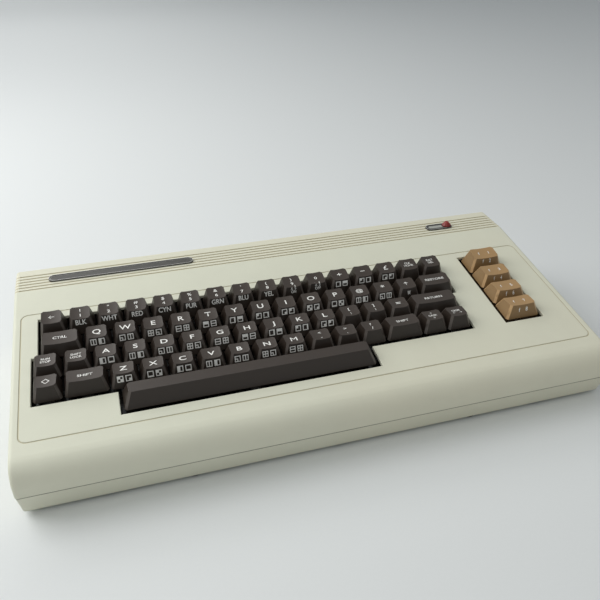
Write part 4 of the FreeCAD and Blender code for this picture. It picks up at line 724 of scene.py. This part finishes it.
class COMPUTER_OT_dress_keys(bpy.types.Operator):
    """Give the key caps, the frame under them and their springs their finishes"""

    bl_idname = "computer.dress_keys"
    bl_label = "Dress the keys"

    def execute(self, context):
        keys = context.scene.computer_keys
        dark = key_plastic("dark_caps", list(keys.dark))
        tan = key_plastic("tan_caps", list(keys.tan))
        for name in LETTERED:
            dress(tan if name.startswith("function") else dark, name)
        bar = key_plastic("space_bar_cap", [share * 0.9 for share in keys.dark], rims=False)
        dress(bar, "space_bar")
        # Brown where the function keys stand
        under = black_moulding("keyboard_frame_black", (0.012, 0.011, 0.010), 0.16, 0.34,
                               right=(0.10, 0.062, 0.032), turns_at=(0.138, 0.141))
        dress(under, "keyboard_frame")
        wire = bright_metal("spring_wire", (0.60, 0.60, 0.58), 0.0010, 0.18, 0.34)
        dress(wire, "key_springs", "space_bar_wire")
        return {"FINISHED"}


class COMPUTER_OT_dress_inside(bpy.types.Operator):
    """Give the boards, the parts on them and the sockets their finishes"""

    bl_idname = "computer.dress_inside"
    bl_label = "Dress the inside"

    def execute(self, context):
        dress(board_lacquer(), "main_board", "keyboard_board")
        dress(chip_epoxy(), "chips")
        dress(capacitor_sleeve(), "capacitors")
        dress(bright_metal("drawn_aluminium", (0.74, 0.74, 0.75), 0.0010, 0.28, 0.50,
                           grain=(1, 0.05, 1)), "heat_sink")
        dress(bright_metal("tinned_sheet", (0.66, 0.67, 0.66), 0.006, 0.22, 0.42), "rf_shield")
        dress(flat_cable(), "keyboard_cable")
        sockets = black_moulding("socket_black", (0.022, 0.022, 0.024), 0.34, 0.56)
        dress(sockets, "cartridge_connector", "video_socket", "serial_socket", "power_inlet",
              "power_switch_housing", "control_port")
        dress(black_moulding("rocker_black", (0.018, 0.018, 0.019), 0.18, 0.36), "power_rocker")
        return {"FINISHED"}


class COMPUTER_OT_dress_trim(bpy.types.Operator):
    """Finish the name badge, the lamp label and the lamp"""

    bl_idname = "computer.dress_trim"
    bl_label = "Dress the trim"

    def execute(self, context):
        dark, pale, grey = (0.052, 0.050, 0.044), (0.42, 0.42, 0.41), (0.36, 0.37, 0.34)
        badge = trim_plate("badge_plate", "name_badge", dark, pale, 3.0 * MM, 3.2 * MM)
        dress(badge, "name_badge")
        label = trim_plate("label_plate", "power_label", dark, grey, -1.0 * MM, 1.9 * MM)
        dress(label, "power_label")
        dress(clear_lamp(), "power_led")
        return {"FINISHED"}


def make_piece(name, shape, material):
    """Make a mesh object of a bmesh, at the origin, with its finish."""
    mesh = bpy.data.meshes.new(name)
    shape.to_mesh(mesh)
    shape.free()
    mesh.materials.append(material)
    piece = bpy.data.objects.new(name, mesh)
    bpy.context.scene.collection.objects.link(piece)
    return piece


def repeat(into, shape, places):
    """Add a copy of a bmesh to another at each place, and free it."""
    sheet = bpy.data.meshes.new("sheet")
    shape.to_mesh(sheet)
    shape.free()
    for place in places:
        sheet.transform(place)
        into.from_mesh(sheet)
        sheet.transform(place.inverted())
    bpy.data.meshes.remove(sheet)


def spaced(count, pitch):
    """Places in a row about its middle."""
    return [(number - (count - 1) / 2) * pitch for number in range(count)]


def ring_edges(shape, segments, radius, x=0.0, y=0.0):
    """Add a ring of edges lying flat, and return them."""
    verts = bmesh.ops.create_circle(shape, cap_ends=False, segments=segments, radius=radius,
                                    matrix=Matrix.Translation((x, y, 0)))["verts"]
    return list(dict.fromkeys(edge for vert in verts for edge in vert.link_edges))


def drawn_out(shape, edges, way):
    """Draw a run of edges out into a wall, and return the run at its far end."""
    parts = bmesh.ops.extrude_edge_only(shape, edges=edges)["geom"]
    verts = [part for part in parts if isinstance(part, bmesh.types.BMVert)]
    bmesh.ops.translate(shape, vec=way, verts=verts)
    return [part for part in parts if isinstance(part, bmesh.types.BMEdge)
            and all(vert in verts for vert in part.verts)]


def pierced(radius, depth, holes, hole_radius, hole_depth):
    """A round block with blind holes in its upper face, which is at z = 0."""
    shape = bmesh.new()
    rim = ring_edges(shape, 40, radius)
    bores = [ring_edges(shape, 12, hole_radius, x, y) for x, y in holes]
    bmesh.ops.triangle_fill(shape, use_beauty=True, edges=rim + sum(bores, []))
    for edges, sunk in [(bore, hole_depth) for bore in bores] + [(rim, depth)]:
        bmesh.ops.edgeloop_fill(shape, edges=drawn_out(shape, edges, (0, 0, -sunk)))
    bmesh.ops.recalc_face_normals(shape, faces=shape.faces)
    return shape


def turned(outline, steps=40, closed=False):
    """A shape spun about z from an outline in millimetres, closed on itself for a ring."""
    shape = bmesh.new()
    points = [shape.verts.new((radius * MM, 0, height * MM)) for radius, height in outline]
    pairs = list(zip(points, points[1:])) + ([(points[-1], points[0])] if closed else [])
    edges = [shape.edges.new(pair) for pair in pairs]
    bmesh.ops.spin(shape, geom=points + edges, cent=(0, 0, 0), axis=(0, 0, 1),
                   angle=math.radians(360), steps=steps, use_merge=True)
    bmesh.ops.remove_doubles(shape, verts=shape.verts, dist=0.000001)
    bmesh.ops.recalc_face_normals(shape, faces=shape.faces)
    return shape


def bowed_spring():
    """One spring of the cartridge slot: a thin leaf that bows down in its middle."""
    leaf = bmesh.new()
    bmesh.ops.create_grid(leaf, x_segments=1, y_segments=8, size=0.5,
                          matrix=Matrix.Diagonal((SPRING_WIDTH, SPRING_LENGTH, 1, 1)))
    for vert in leaf.verts:
        bow = SPRING_BOW * math.cos(math.pi * vert.co.y / SPRING_LENGTH)
        vert.co.z = SPRING_LIFT - bow
    bmesh.ops.solidify(leaf, geom=leaf.verts[:] + leaf.edges[:] + leaf.faces[:],
                       thickness=SPRING_WALL)
    bmesh.ops.recalc_face_normals(leaf, faces=leaf.faces)
    return leaf


def edge_finger():
    """One finger of an edge connector: a thin plated strip with rounded corners."""
    finger = bmesh.new()
    bmesh.ops.create_cube(finger, size=1, matrix=Matrix.Diagonal((*FINGER_SIZE, 1)))
    upright = [edge for edge in finger.edges
               if abs(edge.verts[0].co.z - edge.verts[1].co.z) > FINGER_SIZE[2] / 2]
    bmesh.ops.bevel(finger, geom=upright, offset=FINGER_CORNER, segments=2, profile=0.5,
                    affect="EDGES", material=-1)
    return finger


class COMPUTER_OT_fit_round_sockets(bpy.types.Operator):
    """Fit the shield rings, inserts and contacts of the round sockets"""

    bl_idname = "computer.fit_round_sockets"
    bl_label = "Fit the round sockets"

    def execute(self, context):
        black = black_moulding("insert_black", (0.020, 0.020, 0.021), 0.30, 0.50)
        nickel = bright_metal("nickel_shield", (0.66, 0.65, 0.62), 0.0008, 0.20, 0.36)
        brass = bright_metal("contact_brass", (0.76, 0.60, 0.32), 0.0006, 0.22, 0.40)
        for name, middle, way, contacts in ROUND_SOCKETS:
            place = Matrix.Translation(middle) @ FACING[way]
            spots = [(out * math.cos(math.radians(angle)), -out * math.sin(math.radians(angle)))
                     for angle, out in contacts]
            insert = pierced(radius=5.5 * MM, depth=6.0 * MM, holes=spots,
                             hole_radius=0.85 * MM, hole_depth=4.0 * MM)
            sunk = place @ Matrix.Translation((0, 0, -INSERT_DEPTH))
            bmesh.ops.transform(insert, matrix=sunk, verts=insert.verts)
            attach(make_piece(name + "_insert", insert, black), "case")

            shield = turned(SHIELD_OUTLINE, closed=True)
            bmesh.ops.transform(shield, matrix=place, verts=shield.verts)
            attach(make_piece(name + "_shield", shield, nickel), "case")

            sleeves = bmesh.new()
            repeat(sleeves, turned(SLEEVE_OUTLINE, steps=12, closed=True),
                   [place @ Matrix.Translation((x, y, -SLEEVE_DEPTH)) for x, y in spots])
            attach(make_piece(name + "_contacts", sleeves, brass), "case")
        return {"FINISHED"}


class COMPUTER_OT_fit_contacts(bpy.types.Operator):
    """Fit the pins of the control ports, the springs of the cartridge slot and the edge fingers"""

    bl_idname = "computer.fit_contacts"
    bl_label = "Fit the contacts"

    def execute(self, context):
        gold = bright_metal("contact_gold", (0.86, 0.66, 0.30), 0.0006, 0.20, 0.36, metallic=0.6)
        pins = bmesh.new()
        repeat(pins, turned(PIN_OUTLINE, steps=12), [
            Matrix.Translation((PORT_PINS_X, middle + y, PORTS_Z + z)) @ FACING["side"]
            for middle in PORTS_Y for z, count in PIN_ROWS for y in spaced(count, PIN_PITCH)])
        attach(make_piece("control_port_pins", pins, gold), "case")

        springs = bmesh.new()
        repeat(springs, bowed_spring(), [
            Matrix.Translation((SLOT_X + x, SLOT_Y, SLOT_Z + side * SPRING_RISE))
            @ Matrix.Diagonal((1, 1, side, 1))
            for x in spaced(SPRING_COUNT, SPRING_PITCH) for side in (-1, 1)])
        bmesh.ops.recalc_face_normals(springs, faces=springs.faces)
        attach(make_piece("cartridge_contacts", springs, gold), "case")

        for name, middle, count in EDGES:
            fingers = bmesh.new()
            repeat(fingers, edge_finger(), [
                Matrix.Translation((middle + x, FINGER_Y, level))
                for x in spaced(count, FINGER_PITCH) for level in FINGER_LEVELS])
            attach(make_piece(name, fingers, gold), "case")
        return {"FINISHED"}


def flat_word(word, height, stretch, bold):
    """A bmesh of one line of words lying flat, capitals that high, its middle at x = 0."""
    letters = bpy.data.curves.new("letters", "FONT")
    letters.body = word
    letters.resolution_u = 4
    letters.offset = 0 if set(word) & NEVER_BOLD else bold
    letters.space_word = 1.6
    holder = bpy.data.objects.new("letters", letters)
    shape = bpy.data.meshes.new_from_object(holder)
    flat = bmesh.new()
    flat.from_mesh(shape)
    bpy.data.objects.remove(holder)
    bpy.data.meshes.remove(shape)
    bpy.data.curves.remove(letters)
    bmesh.ops.remove_doubles(flat, verts=flat.verts, dist=0.001)
    spread = [vert.co.x for vert in flat.verts]
    bmesh.ops.translate(flat, vec=(-(min(spread) + max(spread)) / 2, 0, 0), verts=flat.verts)
    grow = height / CAPITAL_HEIGHT
    bmesh.ops.scale(flat, vec=(grow * stretch, grow, 1), verts=flat.verts)
    return flat


def flat_bar(flat, x0, y0, x1, y1):
    """Add a filled rectangle to a flat bmesh."""
    middle = Matrix.Translation(((x0 + x1) / 2, (y0 + y1) / 2, 0))
    bmesh.ops.create_grid(flat, x_segments=1, y_segments=1, size=0.5,
                          matrix=middle @ Matrix.Diagonal((x1 - x0, y1 - y0, 1, 1)))


def picture_box(number, side):
    """A bmesh of an outlined square with a plain block picture in it."""
    flat = bmesh.new()
    inner = 0.5 - BOX_LINE
    for bar in ((-0.5, -0.5, 0.5, -inner), (-0.5, inner, 0.5, 0.5),
                (-0.5, -inner, -inner, inner), (inner, -inner, 0.5, inner)):
        flat_bar(flat, *bar)
    for bar in BOX_PICTURES[number % len(BOX_PICTURES)]:
        flat_bar(flat, *(min(inner, max(-inner, value)) for value in bar))
    bmesh.ops.scale(flat, vec=(side, side, 1), verts=flat.verts)
    return flat


def diamond(height):
    """A bmesh of a plain upright diamond outline."""
    flat = bmesh.new()
    bmesh.ops.create_circle(flat, cap_ends=True, segments=4, radius=height * 0.6)
    ring = bmesh.ops.inset_region(flat, faces=flat.faces, thickness=height * 0.14,
                                  use_boundary=True)["faces"]
    middle = [face for face in flat.faces if face not in ring]
    bmesh.ops.delete(flat, geom=middle, context="FACES")
    return flat


def surface_of(node):
    """The surface of a CAD node, for marks to be pressed onto."""
    return BVHTree.FromObject(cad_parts[node], bpy.context.evaluated_depsgraph_get())


def lay(flat, into, surface, place, way, film):
    """Move a flat bmesh to its place, press it onto the surface along the way, and add it."""
    bmesh.ops.transform(flat, matrix=place, verts=flat.verts)
    for vert in flat.verts:
        hit = surface.ray_cast(vert.co, way)[0]
        if hit is None:
            raise RuntimeError("a letter reaches past the face of its key")
        vert.co = hit - way * film
    repeat(into, flat, [Matrix.Identity(4)])


def top_marks(words, sizes):
    """The marks on a key's top: a bmesh and its place up the key for each."""
    if words == "diamond":
        return [(diamond(sizes.letter), 0)]
    lines = words.split("\n")
    height, pitch, stretch = sizes.line, sizes.line * LINE_PITCH, 1.0
    if words.startswith("f"):
        lines = [words.replace(" ", "  ", 1)]
        height = sizes.function
    elif len(words) == 1:
        height = sizes.pair if words.isdigit() else sizes.letter * SMALL_SIGNS.get(words, 1)
        stretch = sizes.stretch
    elif len(lines) == 1:
        height, stretch = sizes.word, sizes.stretch
    elif max(len(line) for line in lines) == 1:
        height, pitch, stretch = sizes.pair, sizes.pair_pitch, sizes.stretch
    start = (len(lines) - 1) * pitch / 2 - height / 2
    return [(flat_word(line, height, stretch, sizes.bold), start - pitch * number)
            for number, line in enumerate(lines)]


def front_marks(words, row, picture, sizes):
    """The marks on a key's front: a bmesh and its place sideways and off the deck for each."""
    lift = sizes.front_rise - sizes.box_rise if row == 1 else 0
    if words == "boxes":
        return [(picture_box(picture + side * 4, sizes.box), side * sizes.box * 0.67,
                 sizes.box_rise + lift * 0.7) for side in (-1, 1)]
    lines = words.split("\n") if words else []
    height = sizes.front * (FRONT_LINES_SHARE if len(lines) > 1 else 1)
    if words.startswith("f"):
        height = sizes.function
    marks = []
    for number, line in enumerate(lines):
        off_middle = ((len(lines) - 1) / 2 - number) * height * FRONT_LINE_PITCH
        rise = sizes.box_rise + lift + off_middle - height / 2
        marks.append((flat_word(line, height, FRONT_STRETCH, sizes.bold * FRONT_BOLD), 0, rise))
    return marks


class COMPUTER_OT_mark_rocker(bpy.types.Operator):
    """Put the 1 and 0 on the power rocker"""

    bl_idname = "computer.mark_rocker"
    bl_label = "Mark the rocker"

    def execute(self, context):
        low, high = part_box("power_rocker")
        sideways = Matrix.Rotation(math.radians(90), 4, "Z") @ UPRIGHT
        film = context.scene.computer_lettering.film
        marks = bmesh.new()
        for mark, share in (("1", 0.75), ("0", 0.25)):
            place = Matrix.Translation((high.x + 5 * MM, low.y + share * (high.y - low.y),
                                        (low.z + high.z) / 2 - ROCKER_MARK / 2)) @ sideways
            lay(flat_word(mark, ROCKER_MARK, 1.0, 0), marks, surface_of("power_rocker"), place,
                Vector((-1, 0, 0)), film)
        ink = lettering_ink(context.scene.computer_keys, "rocker_marks_ink")
        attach(make_piece("rocker_marks", marks, ink), "rocker")
        return {"FINISHED"}


class COMPUTER_OT_letter_keys(bpy.types.Operator):
    """Put the words, signs and small boxes on the key caps"""

    bl_idname = "computer.letter_keys"
    bl_label = "Letter the keys"

    def execute(self, context):
        sizes = context.scene.computer_lettering
        ink = lettering_ink(context.scene.computer_keys)
        down, inwards = -OFF_DECK.normalized(), UP_DECK.normalized()
        for body in LETTERED:
            cap = surface_of(body)
            words = bmesh.new()
            for number, (name, row, left, pitches, top, front) in enumerate(KEYS):
                if name != body:
                    continue
                middle = Vector((FIRST_KEY_X + (left + pitches / 2) * KEY_PITCH,
                                 FIRST_ROW_Y - (row - 0.5) * KEY_PITCH, 0))
                for flat, up in top_marks(top, sizes):
                    offset = Vector((0, TOP_SHIFT + up, ABOVE_TOP))
                    place = DECK @ Matrix.Translation(middle + offset)
                    lay(flat, words, cap, place, down, sizes.film)
                for flat, aside, rise in front_marks(front, row, number * 3, sizes):
                    offset = Vector((aside, -BEFORE_FRONT, rise))
                    place = DECK @ Matrix.Translation(middle + offset) @ UPRIGHT
                    lay(flat, words, cap, place, inwards, sizes.film)
            piece = make_piece("words_on_" + body, words, ink)
            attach(piece, body)
        return {"FINISHED"}


class COMPUTER_OT_lay_stage(bpy.types.Operator):
    """Set the floor, the backdrop, the lamps and the camera"""

    bl_idname = "computer.lay_stage"
    bl_label = "Lay the stage"

    def execute(self, context):
        scene = context.scene
        stage = scene.computer_stage
        sweep = bmesh.new()
        near = [sweep.verts.new((side * SWEEP_HALF_WIDTH, SWEEP_NEAR_Y, 0)) for side in (-1, 1)]
        bend = drawn_out(sweep, [sweep.edges.new(near)], (0, SWEEP_BEND_Y - SWEEP_NEAR_Y, 0))
        bmesh.ops.spin(sweep, geom=bend, cent=(0, SWEEP_BEND_Y, SWEEP_RADIUS), axis=(1, 0, 0),
                       angle=math.radians(90), steps=16)
        floor = make_piece("studio_sweep", sweep, studio_paper(list(stage.floor)))
        for face in floor.data.polygons:
            face.use_smooth = True
        scene.world = daylight(stage.daylight, stage.backdrop)

        for name, place, aim, size, share, colour in LAMPS:
            lamp = bpy.data.lights.new(name, "AREA")
            lamp.size = size
            lamp.energy = stage.softbox * share
            lamp.color = colour
            light = bpy.data.objects.new(name, lamp)
            facing = (Vector(place) - Vector(aim)).to_track_quat("Z", "Y")
            light.matrix_world = Matrix.Translation(place) @ facing.to_matrix().to_4x4()
            scene.collection.objects.link(light)

        lens = bpy.data.cameras.new("camera")
        lens.lens = stage.lens
        lens.sensor_width = 36
        lens.clip_start = 0.01
        camera = bpy.data.objects.new("camera", lens)
        camera.matrix_world = Matrix.Translation(stage.camera_place) @ CAMERA_TURN.to_4x4()
        scene.collection.objects.link(camera)
        scene.camera = camera
        scene.view_settings.view_transform = "Standard"
        return {"FINISHED"}


class VIEW3D_PT_home_computer(bpy.types.Panel):
    """Buttons for each step, in the order they are used, and the settings"""

    bl_label = "Home computer"
    bl_space_type = "VIEW_3D"
    bl_region_type = "UI"
    bl_category = "Computer"

    def draw(self, context):
        for step in STEPS:
            self.layout.operator(step.bl_idname)
        for group, kind in GROUPS.items():
            box = self.layout.box()
            for name in kind.__annotations__:
                box.prop(getattr(context.scene, group), name)


STEPS = (COMPUTER_OT_dress_case, COMPUTER_OT_dress_keys, COMPUTER_OT_dress_inside,
         COMPUTER_OT_dress_trim, COMPUTER_OT_fit_round_sockets, COMPUTER_OT_fit_contacts,
         COMPUTER_OT_mark_rocker, COMPUTER_OT_letter_keys, COMPUTER_OT_lay_stage)
GROUPS = {"computer_case": CaseFinish, "computer_keys": KeyFinish,
          "computer_lettering": LetteringSizes, "computer_stage": StageSettings}


def register():
    """Add the classes and the settings to Blender."""
    for name, group in GROUPS.items():
        bpy.utils.register_class(group)
        setattr(bpy.types.Scene, name, PointerProperty(type=group))
    for kind in (*STEPS, VIEW3D_PT_home_computer):
        bpy.utils.register_class(kind)


def unregister():
    """Take the classes and the settings out again."""
    for kind in (VIEW3D_PT_home_computer, *reversed(STEPS)):
        bpy.utils.unregister_class(kind)
    for name, group in reversed(GROUPS.items()):
        delattr(bpy.types.Scene, name)
        bpy.utils.unregister_class(group)


def main():
    """Register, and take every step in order."""
    register()
    for step in STEPS:
        family, name = step.bl_idname.split(".")
        getattr(getattr(bpy.ops, family), name)()


if __name__ == "__main__":
    main()
